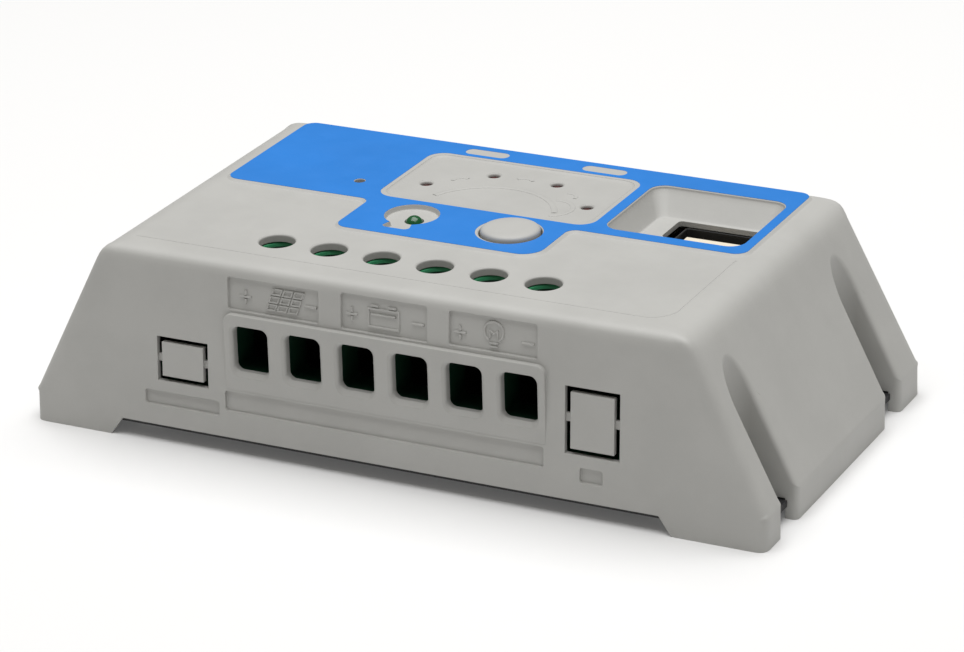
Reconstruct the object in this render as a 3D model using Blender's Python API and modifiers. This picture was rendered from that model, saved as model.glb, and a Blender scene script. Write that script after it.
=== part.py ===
"""Solar charge controller in a grey plastic case, modelled piece by piece.

Units: the dimensions below are millimetres, and the helpers turn them into metres.
Frame: +X to the right along the case, +Y from the terminal side to the back, +Z up.
Origin: under the middle of the case, on the surface that the feet stand on.
"""
import math

import bmesh
import bpy
from mathutils import Matrix, Vector

MM = 0.001

# Case
WIDTH = 130.1            # over the skirts, left to right
DEPTH = 66.8             # at the feet, front to back
TOP_Z = 32.5             # upper face around the raised label field
PLATEAU_Z = 32.85        # raised field under the label
SKIRT_H = 5.5            # upright part of the two sides
SIDE_LEAN = 0.5          # inward run per unit of height, sides
FRONT_LEAN = 0.061       # the same, front face
BACK_LEAN = 0.040        # the same, back face
WALL = 2.0
TOP_WALL = 2.0
CORNER_R = 2.8           # upright corners
TOP_SIDE_R = 4.9         # reach of the rounding between the upper face and the sides
TOP_FRONT_R = 3.4
TOP_BACK_R = 0.9
FOLD_R = 0.6             # reach of the bend between skirt and side
ROUNDING_PROFILE = 0.7   # above 0.5 the roundings are tighter in their middle
NOTCH_Z = 3.05           # lower edge of the front and back between the feet
NOTCH_X = -0.6           # middle of that edge
NOTCH_HALF_LOW = 50.0
NOTCH_HALF_HIGH = 47.8

# Grooves in the sides that lead a screwdriver to the mounting slots
GROOVE_YS = (-23.6, 20.8)
GROOVE_R = 3.1
GROOVE_X = 57.3          # centre of the groove's round bottom
GROOVE_RIM_R = 1.6
GROOVE_WALL = 1.8

# Base plate and the screws that hold it
PLATE_Z0 = 2.2
PLATE_T = 1.0
PLATE_HALF_X = 62.2
PLATE_HALF_Y = 32.3
PLATE_TAB_X = 63.4
PLATE_TAB_STEP = 0.1     # the tabs stand this much above the plate
PLATE_GAP = 0.25
PLATE_CORNER_R = 3.0
STANDOFF_R = 3.0
STANDOFF_BORE_R = 1.45
SLOT_X = 59.4            # centre of the mounting slots in the plate's tabs
SLOT_HALF_W = 2.1
SLOT_LENGTH = 6.4
POST_X = 46.5
POST_Y = 26.4
POST_R = 3.4
BASE_SCREW_R = 1.45

# Circuit board
PCB_Z0 = 7.4
PCB_T = 1.6
PCB_HALF_X = 50.0
PCB_Y0 = -30.4
PCB_Y1 = 29.6
PCB_SCREW_X = 45.5
PCB_SCREW_Y = 11.5

# Screw terminals
POLES = 6
PITCH = 9.5
POLE_X = -1.2            # middle of the row
HOLE_X = -1.8            # middle of the row of screwdriver holes
WINDOW_X = -0.25         # middle of the row of wire windows
SCREW_Y = -19.5
WINDOW_W = 6.2
WINDOW_Z0 = 14.6
WINDOW_Z1 = 22.4
WINDOW_R = 1.2
WINDOW_FLARE = 0.5
DRIVER_HOLE_R = 2.95
DRIVER_HOLE_WALL = 1.3   # thickness left around the screwdriver holes
COLLAR_R = 4.2           # raised ring of the terminal block under each hole
COLLAR_TOP = 31.0
BLOCK_TOP = 30.3
BLOCK_Y0 = -29.2
BLOCK_Y1 = -14.5
MOUTH_Y0 = -30.9
MOUTH_TOP = 23.9
SCREW_R = 1.95
HEAD_R = 2.7
HEAD_BORE_R = 3.4
HEAD_Z0 = 28.5
HEAD_Z1 = 29.95
SCREW_TIP = 20.7
CAGE_HALF_X = 3.6
CAGE_Y0 = -25.0
CAGE_Y1 = -16.6
CAGE_Z0 = 12.7
CAGE_Z1 = 22.3
BAR_Z0 = 19.2
BAR_Z1 = 20.4
LEG_HALF_X = 1.6
LEG_Y0 = -16.3
LEG_Y1 = -15.5

# Raised band that carries the wire windows
BAND_X0 = -28.7
BAND_X1 = 28.1
BAND_Z0 = 11.5
BAND_Z1 = 24.5
BAND_Y = -32.75
BAND_CHAMFER = 0.5
BAND_ROOT = 2.5          # how far the band reaches back into the case wall

# Upper face
LABEL_T = 0.2
LABEL_GAP = 0.03
LABEL_X0 = -47.4
LABEL_X1 = 46.5
LABEL_Y0_LEFT = 2.15
LABEL_Y0_RIGHT = 2.3
LABEL_Y1 = 31.6
TAB_X0 = -20.0
TAB_X1 = 16.2
TAB_Y = -10.7
PLATEAU_RIM = 0.05
PANEL = (-20.4, 18.8, 4.4, 26.6)         # grey LED field, x0 x1 y0 y1
PANEL_R = 3.0
PANEL_DEPTH = 0.25
PILLS = ((-11.5, 28.8), (10.3, 28.8))    # the two battery poles drawn behind it
PILL_HALF = (4.0, 1.25)
LED_ARC = (-0.35, 4.4)                   # centre of the arc of red LEDs
LED_ARC_R = 17.0
LED_ANGLES = (150, 110, 70, 30)
LED_HOLE_R = 1.0
LED_R = 1.5
LED_RIM_R = 1.9
LED_TIP = 32.25
LED_SEAT_Z = 32.0        # underside of the thin wall over each red LED
LED_LEG_X = 1.27         # half the distance between the two legs
GREEN_LED = (-9.6, -2.25)
GREEN_HOLE_R = 1.6
DISH = (-10.3, -1.6)     # middle of the lamp-shaped field around the green LED
DISH_R = 4.5
DISH_DEPTH = 0.8
SOLAR_LED = (-25.6, 9.1)
SOLAR_HOLE_R = 0.9
BUTTON = (7.9, -2.4)
BUTTON_R = 4.9
BUTTON_HOLE_R = 5.2
BUTTON_TOP = 33.85
BUTTON_RIM = (29.4, 30.2)                # flange that keeps the cap in the case
STEM_R = 2.2
STEM_Z0 = 15.4
PLUNGER_R = 1.75
PLUNGER_Z = (10.2, 15.3)
SWITCH_HALF = 3.0
SWITCH_TOP = 12.6

# USB pocket and receptacle
POCKET = (20.9, 44.6, 5.0, 26.2)         # opening, x0 x1 y0 y1
POCKET_FLOOR = (23.2, 43.4, 6.4, 22.3)
POCKET_R = 2.5
POCKET_DEPTH = 4.0
POCKET_FLOOR_T = 0.9
USB_CUTOUT = (27.0, 42.6, 14.1, 21.8)
USB_CENTRE = (34.8, 18.85)
USB_HALF = (6.6, 2.95)
USB_TOP = 27.85
USB_WALL = 0.35
TONGUE_HALF_X = 5.55
TONGUE_T = 1.84
INSULATOR_TOP = 17.2

# Knock-outs in the front: opening x0 x1 z0 z1, margin to the plug, tab z0 z1
KNOCKOUTS = (
    (-41.4, -32.0, 10.8, 18.4, 0.9, 14.0, 15.3),
    (31.3, 40.6, 10.65, 21.8, 0.95, 15.8, 17.2),
)
KNOCKOUT_TAB_DEPTH = 0.5                 # how far the tabs lie below the face
KNOCKOUT_WALL = 0.9                      # thickness of the wall around a knock-out
# Recessed fields in the front face: x0 x1 z0 z1
ICON_FIELDS = ((-28.0, -11.7, 25.0, 30.4), (-7.6, 7.5, 24.9, 30.8), (11.4, 26.5, 25.2, 30.8))
STRIP_FIELDS = ((-28.9, 27.6, 7.6, 11.0), (-43.8, -30.1, 6.5, 8.9), (33.9, 37.7, 6.2, 8.6))
FIELD_DEPTH = 0.5

# Parts on the board
SEAT_GAP = 0.05          # solder under each part
MOSFET_XS = (-30.0, -10.0, 10.0, 30.0)
MOSFET_Z0 = 4.75
PAD_TOP = 4.65
CAPACITORS = ((-34.0, 20.0), (-22.0, 22.0))
CAPACITOR_R = 5.0
CAPACITOR_H = 16.0
INDUCTOR = (18.5, 20.5)
INDUCTOR_R = 6.0
INDUCTOR_H = 7.0
CHIP_H = 1.6

COLOURS = {                              # red green blue, roughness, metallic
    "grey_plastic": ((0.56, 0.56, 0.53), 0.5, 0.0),
    "blue_label": ((0.03, 0.26, 0.78), 0.4, 0.0),
    "black_steel": ((0.012, 0.012, 0.014), 0.45, 0.3),
    "green_plastic": ((0.02, 0.22, 0.09), 0.45, 0.0),
    "green_board": ((0.01, 0.12, 0.05), 0.5, 0.0),
    "plated_steel": ((0.62, 0.62, 0.60), 0.3, 1.0),
    "tinned_copper": ((0.70, 0.66, 0.58), 0.35, 1.0),
    "black_plastic": ((0.02, 0.02, 0.02), 0.5, 0.0),
    "cream_plastic": ((0.80, 0.72, 0.60), 0.5, 0.0),
    "red_lens": ((0.45, 0.02, 0.01), 0.2, 0.0),
    "green_lens": ((0.02, 0.30, 0.06), 0.2, 0.0),
    "clear_lens": ((0.10, 0.12, 0.20), 0.2, 0.0),
    "grey_pad": ((0.35, 0.36, 0.38), 0.8, 0.0),
    "copper_winding": ((0.60, 0.28, 0.10), 0.35, 1.0),
    "capacitor_sleeve": ((0.03, 0.04, 0.10), 0.4, 0.0),
}


def clear_scene():
    for obj in list(bpy.data.objects):
        bpy.data.objects.remove(obj, do_unlink=True)


def new_collection(name):
    collection = bpy.data.collections.new(name)
    bpy.context.scene.collection.children.link(collection)
    return collection


clear_scene()
PARTS = new_collection("charge_controller")
CUTTERS = new_collection("cutters")


def material(name):
    found = bpy.data.materials.get(name)
    if found:
        return found
    colour, roughness, metallic = COLOURS[name]
    made = bpy.data.materials.new(name)
    made.use_nodes = True
    shader = made.node_tree.nodes["Principled BSDF"]
    shader.inputs["Base Color"].default_value = (*colour, 1.0)
    shader.inputs["Roughness"].default_value = roughness
    shader.inputs["Metallic"].default_value = metallic
    return made


def add_object(name, mesh, colour=None):
    """Link a mesh as a part, or as a cutter when it has no colour."""
    obj = bpy.data.objects.new(name, mesh)
    if colour:
        mesh.materials.clear()
        mesh.materials.append(material(colour))
        PARTS.objects.link(obj)
    else:
        CUTTERS.objects.link(obj)
        obj.hide_render = True
        obj.display_type = "WIRE"
    return obj


def object_from(name, bm, colour=None):
    bmesh.ops.recalc_face_normals(bm, faces=bm.faces)
    mesh = bpy.data.meshes.new(name)
    bm.to_mesh(mesh)
    bm.free()
    return add_object(name, mesh, colour)


def box(name, x0, x1, y0, y1, z0, z1, colour=None):
    bm = bmesh.new()
    bmesh.ops.create_cube(bm, size=1.0)
    size = Vector((x1 - x0, y1 - y0, z1 - z0)) * MM
    centre = Vector((x0 + x1, y0 + y1, z0 + z1)) * MM / 2
    bmesh.ops.scale(bm, vec=size, verts=bm.verts)
    bmesh.ops.translate(bm, vec=centre, verts=bm.verts)
    return object_from(name, bm, colour)


def cylinder(name, x, y, z0, z1, radius, colour=None, sides=20):
    bm = bmesh.new()
    bmesh.ops.create_cone(
        bm, cap_ends=True, segments=sides, radius1=radius * MM, radius2=radius * MM,
        depth=(z1 - z0) * MM)
    bmesh.ops.translate(bm, vec=Vector((x, y, (z0 + z1) / 2)) * MM, verts=bm.verts)
    return object_from(name, bm, colour)


def shade_smooth(obj, angle=35.0):
    obj.data.shade_smooth()
    obj.data.set_sharp_from_angle(angle=math.radians(angle))


def turned(name, profile, x, y, colour=None, sides=20):
    """Turn a profile of (radius, z) points, listed down the outer side, about an upright axis."""
    mesh = bpy.data.meshes.new(name)
    points = [(radius * MM, 0.0, z * MM) for radius, z in profile]
    edges = [(i, i + 1) for i in range(len(points) - 1)]
    mesh.from_pydata(points, edges, [])
    obj = add_object(name, mesh, colour)
    obj.location = (x * MM, y * MM, 0.0)
    screw = obj.modifiers.new("turn", "SCREW")
    screw.steps = sides
    screw.render_steps = sides
    screw.use_merge_vertices = True
    screw.merge_threshold = 0.00001
    screw.use_smooth_shade = True
    return obj


def put_origin(obj, x, y):
    """Put an object's origin on the upright axis at x, y and leave its mesh where it is."""
    shift = Vector((x, y, 0.0)) * MM
    obj.data.transform(Matrix.Translation(-shift))
    obj.location = shift


def make_part(obj, name, colour):
    """Turn a cutter into a part."""
    obj.name = name
    CUTTERS.objects.unlink(obj)
    PARTS.objects.link(obj)
    obj.hide_render = False
    obj.display_type = "TEXTURED"
    obj.data.materials.clear()
    obj.data.materials.append(material(colour))
    return obj


def evaluated_mesh(obj):
    graph = bpy.context.evaluated_depsgraph_get()
    return bpy.data.meshes.new_from_object(obj.evaluated_get(graph))


def settled(obj):
    """Put an object's modifiers into its mesh."""
    mesh = evaluated_mesh(obj)
    obj.modifiers.clear()
    obj.data = mesh
    return obj


def combine(target, others, operation):
    """Add the other solids to the target, or cut them from it."""
    for other in others:
        step = target.modifiers.new(operation.lower(), "BOOLEAN")
        step.operation = operation
        step.solver = "EXACT"
        step.object = other
    return target


def cut(target, *others):
    return combine(target, others, "DIFFERENCE")


def unite(target, *others):
    return combine(target, others, "UNION")


def arc(cx, cy, radius, start, end, steps):
    points = []
    for i in range(steps + 1):
        angle = math.radians(start + (end - start) * i / steps)
        points.append((cx + radius * math.cos(angle), cy + radius * math.sin(angle)))
    return points


def rounded_rect(x0, x1, y0, y1, radius, steps=3):
    points = arc(x1 - radius, y0 + radius, radius, -90, 0, steps)
    points += arc(x1 - radius, y1 - radius, radius, 0, 90, steps)
    points += arc(x0 + radius, y1 - radius, radius, 90, 180, steps)
    points += arc(x0 + radius, y0 + radius, radius, 180, 270, steps)
    return points


def outline_solid(name, loops, low, high, colour=None, plane="XY"):
    """Extrude a flat outline with holes: from z=low to high, or from y=low to high for plane XZ."""
    curve = bpy.data.curves.new(name, "CURVE")
    curve.dimensions = "2D"
    curve.fill_mode = "BOTH"
    curve.extrude = (high - low) * MM / 2
    for loop in loops:
        spline = curve.splines.new("POLY")
        spline.points.add(len(loop) - 1)
        for point, (a, b) in zip(spline.points, loop):
            point.co = (a * MM, b * MM, 0.0, 1.0)
        spline.use_cyclic_u = True
    source = bpy.data.objects.new(name + "_outline", curve)
    CUTTERS.objects.link(source)
    bpy.context.view_layer.update()
    mesh = evaluated_mesh(source)
    bpy.data.objects.remove(source, do_unlink=True)
    bm = bmesh.new()
    bm.from_mesh(mesh)
    bmesh.ops.remove_doubles(bm, verts=bm.verts, dist=0.000001)
    bmesh.ops.dissolve_limit(bm, angle_limit=math.radians(0.1), verts=bm.verts, edges=bm.edges)
    middle = (low + high) * MM / 2
    if plane == "XZ":
        place = Matrix.Translation((0.0, middle, 0.0)) @ Matrix.Rotation(math.pi / 2, 4, "X")
    else:
        place = Matrix.Translation((0.0, 0.0, middle))
    bmesh.ops.transform(bm, matrix=place, verts=bm.verts)
    return object_from(name, bm, colour)


def loft(name, sections, colour=None):
    """Join sections of equally many (x, y, z) points, and close both ends."""
    bm = bmesh.new()
    rings = [[bm.verts.new(Vector(p) * MM) for p in section] for section in sections]
    count = len(rings[0])
    for lower, upper in zip(rings, rings[1:]):
        for i in range(count):
            j = (i + 1) % count
            bm.faces.new((lower[i], lower[j], upper[j], upper[i]))
    bm.faces.new(reversed(rings[0]))
    bm.faces.new(rings[-1])
    return object_from(name, bm, colour)


def at_height(points, z):
    return [(x, y, z) for x, y in points]


def at_depth(points, y):
    return [(x, y, z) for x, z in points]


def pole_xs(centre):
    return [centre + (i - (POLES - 1) / 2) * PITCH for i in range(POLES)]


def front_y(z):
    return -DEPTH / 2 + FRONT_LEAN * z


def back_y(z):
    return DEPTH / 2 - BACK_LEAN * z


def side_x(z):
    return WIDTH / 2 - SIDE_LEAN * max(z - SKIRT_H, 0.0)


# Case

def tapered_block(name, z0, z1, inset, fold_z):
    """The case's outer form between two heights, moved inwards by inset."""
    bm = bmesh.new()
    bmesh.ops.create_cube(bm, size=1.0)
    bmesh.ops.scale(bm, vec=(1.0, 1.0, (z1 - z0) * MM), verts=bm.verts)
    bmesh.ops.translate(bm, vec=(0.0, 0.0, (z0 + z1) * MM / 2), verts=bm.verts)
    bmesh.ops.bisect_plane(
        bm, geom=bm.verts[:] + bm.edges[:] + bm.faces[:],
        plane_co=(0.0, 0.0, fold_z * MM), plane_no=(0.0, 0.0, 1.0))
    for vert in bm.verts:
        z = vert.co.z / MM
        half = side_x(z) - inset
        vert.co.x = math.copysign(half, vert.co.x) * MM
        edge = back_y(max(z, 0.0)) - inset if vert.co.y > 0 else front_y(max(z, 0.0)) + inset
        vert.co.y = edge * MM
    return object_from(name, bm)


def groove_outline(x_sign, y, radius, x_far):
    half_round = arc(GROOVE_X, y, radius, 90, 270, 8)
    points = [(x_far, y + radius)] + half_round + [(x_far, y - radius)]
    return [(x_sign * px, py) for px, py in points]


def each_groove():
    for x_sign in (-1, 1):
        for y in GROOVE_YS:
            yield x_sign, y


def edge_radius(edge):
    """Reach of the rounding of an edge of the plain case form, from where it lies."""
    if len(edge.link_faces) != 2 or edge.calc_face_angle(0.0) < math.radians(8):
        return 0.0
    a, b = (v.co / MM for v in edge.verts)
    mid = (a + b) / 2
    along = (b - a).normalized()
    if min(a.z, b.z) > TOP_Z - 0.01:
        if abs(along.y) > 0.9:
            return TOP_SIDE_R
        return TOP_FRONT_R if mid.y < 0 else TOP_BACK_R
    if max(a.z, b.z) < 0.01:
        return 0.0
    if abs(mid.y - front_y(mid.z)) < 0.05 or abs(mid.y - back_y(mid.z)) < 0.05:
        return CORNER_R if abs(along.z) > 0.5 else 0.0
    if abs(abs(mid.x) - side_x(mid.z)) < 0.4:
        if abs(along.y) > 0.99 and abs(mid.z - SKIRT_H) < 0.1:
            return FOLD_R
        return GROOVE_RIM_R * math.tan(edge.calc_face_angle() / 2)
    return 0.0


def round_edges(obj, radius_of, segments):
    """Bevel each edge by the radius that radius_of gives it."""
    bm = bmesh.new()
    bm.from_mesh(obj.data)
    bmesh.ops.dissolve_limit(bm, angle_limit=math.radians(0.5), verts=bm.verts, edges=bm.edges)
    weights = bm.edges.layers.float.new("bevel_weight_edge")
    for edge in bm.edges:
        edge[weights] = radius_of(edge) / TOP_SIDE_R
    bm.to_mesh(obj.data)
    bm.free()
    rounding = obj.modifiers.new("rounding", "BEVEL")
    rounding.width = TOP_SIDE_R * MM
    rounding.limit_method = "WEIGHT"
    rounding.segments = segments
    rounding.profile = ROUNDING_PROFILE
    rounding.use_clamp_overlap = False
    return settled(obj)


def cover_form():
    """The case's outside with its grooves and rounded edges, still solid."""
    form = tapered_block("cover_form", 0.0, TOP_Z, 0.0, SKIRT_H)
    for x_sign, y in each_groove():
        outline = groove_outline(x_sign, y, GROOVE_R, WIDTH)
        cut(form, outline_solid("groove_cutter", [outline], -5.0, TOP_Z + 5.0))
    return round_edges(settled(form), edge_radius, 3)


def label_outline(grow):
    """Outline of the blue label's field, a wide part with a tab towards the front."""
    x0, x1 = LABEL_X0 - grow, LABEL_X1 + grow
    left_y0, right_y0, y1 = LABEL_Y0_LEFT - grow, LABEL_Y0_RIGHT - grow, LABEL_Y1
    tx0, tx1, ty = TAB_X0 - grow, TAB_X1 + grow, TAB_Y - grow
    outer = 2.2 + grow
    inner = 1.8 - grow
    points = arc(x1 - outer, right_y0 + outer, outer, -90, 0, 3)
    points += arc(x1 - 2.0, y1 - 2.0, 2.0, 0, 90, 3)
    points += arc(x0 + 2.0, y1 - 2.0, 2.0, 90, 180, 3)
    points += arc(x0 + outer, left_y0 + outer, outer, 180, 270, 3)
    points += arc(tx0 - inner, left_y0 - inner, inner, 90, 0, 3)
    points += arc(tx0 + outer, ty + outer, outer, 180, 270, 3)
    chamfer = 3.6 + grow
    points += arc(tx1 - chamfer, ty + chamfer, chamfer, -90, 0, 4)
    points += arc(tx1 + inner, right_y0 - inner, inner, 180, 90, 3)
    return points


def bulb_outline(grow, steps=20):
    """Lamp-shaped field for the green LED: a round globe with a short base."""
    cx, cy = DISH
    neck_half, base_half, base_y = 1.9, 2.3, cy - DISH_R - 1.9
    radius = DISH_R + grow
    side = math.degrees(math.asin((neck_half + grow) / radius))
    points = arc(cx, cy, radius, -90 + side, 270 - side, steps)
    corner = 0.9
    points += arc(cx - base_half - grow + corner, base_y - grow + corner, corner, 180, 270, 3)
    points += arc(cx + base_half + grow - corner, base_y - grow + corner, corner, 270, 360, 3)
    return points


def led_places():
    cx, cy = LED_ARC
    return [arc(cx, cy, LED_ARC_R, angle, angle, 1)[0] for angle in LED_ANGLES]


def inner_edge_radius(edge):
    """Rounding of the cavity's upper side edges, which keeps the wall there even."""
    a, b = (v.co / MM for v in edge.verts)
    if min(a.z, b.z) < TOP_Z - TOP_WALL - 0.01:
        return 0.0
    return TOP_SIDE_R - WALL if abs((b - a).normalized().y) > 0.9 else 0.0


def cavity():
    """The space inside the cover, with the posts, groove walls and USB tub left standing."""
    space = tapered_block("cavity", -2.0, TOP_Z - TOP_WALL, WALL + 0.1, SKIRT_H)
    round_edges(space, inner_edge_radius, 2)
    for x_sign, y in each_groove():
        outline = groove_outline(x_sign, y, GROOVE_R + GROOVE_WALL, WIDTH)
        cut(space, outline_solid("groove_wall", [outline], PLATE_Z0 + PLATE_T + PLATE_GAP, TOP_Z))
    for x in (-POST_X, POST_X):
        for y in (-POST_Y, POST_Y):
            low = PLATE_Z0 + PLATE_T + PLATE_GAP
            cut(space, cylinder("post", x, y, low, TOP_Z, POST_R))
    x0, x1, y0, y1 = POCKET
    tub_z = PLATEAU_Z - POCKET_DEPTH - POCKET_FLOOR_T
    cut(space, box("usb_tub", x0 - 1.4, x1 + 1.4, y0 - 1.4, y1 + 1.4, tub_z, TOP_Z))
    return space


def mouth_pocket():
    """Thinner wall behind the band, where the terminal block's mouth reaches forward."""
    return box("mouth_pocket", BAND_X0 - 1.3, BAND_X1 + 0.5, BAND_Y + 1.65, SCREW_Y,
               7.0, BAND_Z1 - 0.2)


def foot_notch():
    low, high = NOTCH_HALF_LOW, NOTCH_HALF_HIGH
    half = [(low + 0.7, -1.0), (low, 0.0), (high, NOTCH_Z)]
    profile = [(NOTCH_X + x, z) for x, z in half] + [(NOTCH_X - x, z) for x, z in reversed(half)]
    return outline_solid("foot_notch", [profile], -DEPTH, DEPTH, plane="XZ")


def window_cutter(x):
    half = WINDOW_W / 2
    ring = rounded_rect(x - half, x + half, WINDOW_Z0, WINDOW_Z1, WINDOW_R)
    flare = WINDOW_FLARE
    wide = rounded_rect(x - half - flare, x + half + flare, WINDOW_Z0 - flare, WINDOW_Z1 + flare,
                        WINDOW_R + flare)
    sections = [at_depth(wide, BAND_Y - 1.5), at_depth(wide, BAND_Y),
                at_depth(ring, BAND_Y + flare), at_depth(ring, SCREW_Y)]
    return loft("window", sections)


def front_slab(name, x0, x1, z0, z1, near, far):
    """A slab parallel to the leaning front face, between two depths behind it."""
    ring = rounded_rect(x0, x1, z0, z1, 0.4, 2)
    sections = [[(x, front_y(z) + depth, z) for x, z in ring] for depth in (near, far)]
    return loft(name, sections)


def knockout_cutters(x0, x1, z0, z1, margin, tab_z0, tab_z1):
    """The gap around a knock-out plug in two halves, and what thins its tabs and the wall."""
    px0, px1, pz0, pz1 = x0 + margin, x1 - margin, z0 + margin, z1 - margin
    upper = [(x0, tab_z1), (px0, tab_z1), (px0, pz1), (px1, pz1),
             (px1, tab_z1), (x1, tab_z1), (x1, z1), (x0, z1)]
    lower = [(x0, z0), (x1, z0), (x1, tab_z0), (px1, tab_z0),
             (px1, pz0), (px0, pz0), (px0, tab_z0), (x0, tab_z0)]
    y0, y1 = -DEPTH / 2 - 2.0, -DEPTH / 2 + 6.0
    cutters = [outline_solid("knockout_gap", [half], y0, y1, plane="XZ") for half in (upper, lower)]
    for left, right in ((x0, px0), (px1, x1)):
        cutters.append(front_slab("tab_recess", left, right, tab_z0 - 0.5, tab_z1 + 0.5,
                                  -2.0, KNOCKOUT_TAB_DEPTH))
    cutters.append(front_slab("thin_wall", x0 - 0.6, x1 + 0.6, z0 - 0.6, z1 + 0.6,
                              KNOCKOUT_WALL, WALL + 1.0))
    return cutters


def pocket_cutter():
    opening = rounded_rect(*POCKET, POCKET_R)
    floor = rounded_rect(*POCKET_FLOOR, 1.6)
    sections = [at_height(floor, PLATEAU_Z - POCKET_DEPTH), at_height(opening, PLATEAU_Z - 0.6),
                at_height(opening, PLATEAU_Z + 2.0)]
    return loft("usb_pocket", sections)


def band():
    """Raised band around the wire windows, chamfered along its upper and end edges."""
    def ring(inset, z):
        x0, x1, y0, y1 = BAND_X0 + inset, BAND_X1 - inset, BAND_Y + inset, BAND_Y + BAND_ROOT
        return at_height([(x0, y0), (x1, y0), (x1, y1), (x0, y1)], z)

    return loft("band", [ring(0.0, BAND_Z0), ring(0.0, BAND_Z1 - BAND_CHAMFER),
                         ring(BAND_CHAMFER, BAND_Z1)])


def led_holes():
    """Holes for the red, solar and green LEDs, with seats under the thin walls."""
    below, above = TOP_Z - 5.0, TOP_Z + 3.0
    for x, y in led_places():
        yield cylinder("led_hole", x, y, below, above, LED_HOLE_R, sides=16)
        yield cylinder("led_seat", x, y, below, LED_SEAT_Z, LED_RIM_R, sides=16)
    yield cylinder("solar_hole", *SOLAR_LED, below, above, SOLAR_HOLE_R, sides=12)
    yield cylinder("solar_seat", *SOLAR_LED, below, TOP_Z - 1.0, LED_RIM_R, sides=16)
    yield cylinder("green_hole", *GREEN_LED, below, above, GREEN_HOLE_R, sides=16)


def driver_holes():
    """The screwdriver holes, and the trough in the wall over the terminal block's collars."""
    for x in pole_xs(HOLE_X):
        yield cylinder("driver_hole", x, SCREW_Y, TOP_Z - 5.0, TOP_Z + 3.0, DRIVER_HOLE_R, sides=24)
    xs = pole_xs(POLE_X)
    reach = COLLAR_R + 0.5
    trough = rounded_rect(xs[0] - reach, xs[-1] + reach, SCREW_Y - reach, SCREW_Y + reach,
                          reach * 0.98, 5)
    yield outline_solid("collar_trough", [trough], TOP_Z - 5.0, TOP_Z - DRIVER_HOLE_WALL)


def top_cover():
    cover = make_part(cover_form(), "top_cover", "grey_plastic")
    plateau = outline_solid("plateau", [label_outline(PLATEAU_RIM)], TOP_Z - 1.0, PLATEAU_Z)
    unite(cover, plateau, band())
    plate_top = PLATE_Z0 + PLATE_T + PLATE_GAP
    recess = box("plate_recess", -PLATE_HALF_X - PLATE_GAP, PLATE_HALF_X + PLATE_GAP,
                 -PLATE_HALF_Y - PLATE_GAP, PLATE_HALF_Y + PLATE_GAP, -3.0, plate_top)
    cut(cover, cavity(), recess, foot_notch(), mouth_pocket())
    for x in (-POST_X, POST_X):
        for y in (-POST_Y, POST_Y):
            cut(cover, cylinder("post_bore", x, y, 0.0, 15.0, BASE_SCREW_R + 0.15, sides=12))
    for x in pole_xs(WINDOW_X):
        cut(cover, window_cutter(x))
    cut(cover, *driver_holes())
    for knockout in KNOCKOUTS:
        cut(cover, *knockout_cutters(*knockout))
    for field in ICON_FIELDS + STRIP_FIELDS:
        cut(cover, front_slab("sunk_field", *field, -2.0, FIELD_DEPTH))
    cut(cover, outline_solid("led_panel", [rounded_rect(*PANEL, PANEL_R)],
                             PLATEAU_Z - PANEL_DEPTH, TOP_Z + 3.0))
    cut(cover, *led_holes())
    cut(cover, outline_solid("lamp_dish", [bulb_outline(0.0)], PLATEAU_Z - DISH_DEPTH, TOP_Z + 3.0))
    cut(cover, cylinder("button_hole", *BUTTON, TOP_Z - 5.0, TOP_Z + 3.0, BUTTON_HOLE_R, sides=32))
    cut(cover, pocket_cutter())
    x0, x1, y0, y1 = USB_CUTOUT
    cut(cover, outline_solid("usb_cutout", [rounded_rect(x0, x1, y0, y1, 0.8)], 20.0, TOP_Z))
    settled(cover)
    shade_smooth(cover)
    return cover


def label_overlay():
    x0, x1, y0, y1 = POCKET
    loops = [label_outline(0.0), rounded_rect(*PANEL, PANEL_R), rounded_rect(x0, x1, y0, y1, POCKET_R)]
    half_x, half_y = PILL_HALF
    for x, y in PILLS:
        loops.append(rounded_rect(x - half_x, x + half_x, y - half_y, y + half_y, half_y * 0.98))
    loops.append(bulb_outline(0.0))
    loops.append(arc(BUTTON[0] - 0.2, BUTTON[1], 5.55, 0, 360 - 360 / 32, 31))
    loops.append(arc(*SOLAR_LED, SOLAR_HOLE_R, 0, 330, 11))
    low = PLATEAU_Z + LABEL_GAP
    return outline_solid("label_overlay", loops, low, low + LABEL_T, "blue_label")


# Base plate

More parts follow.
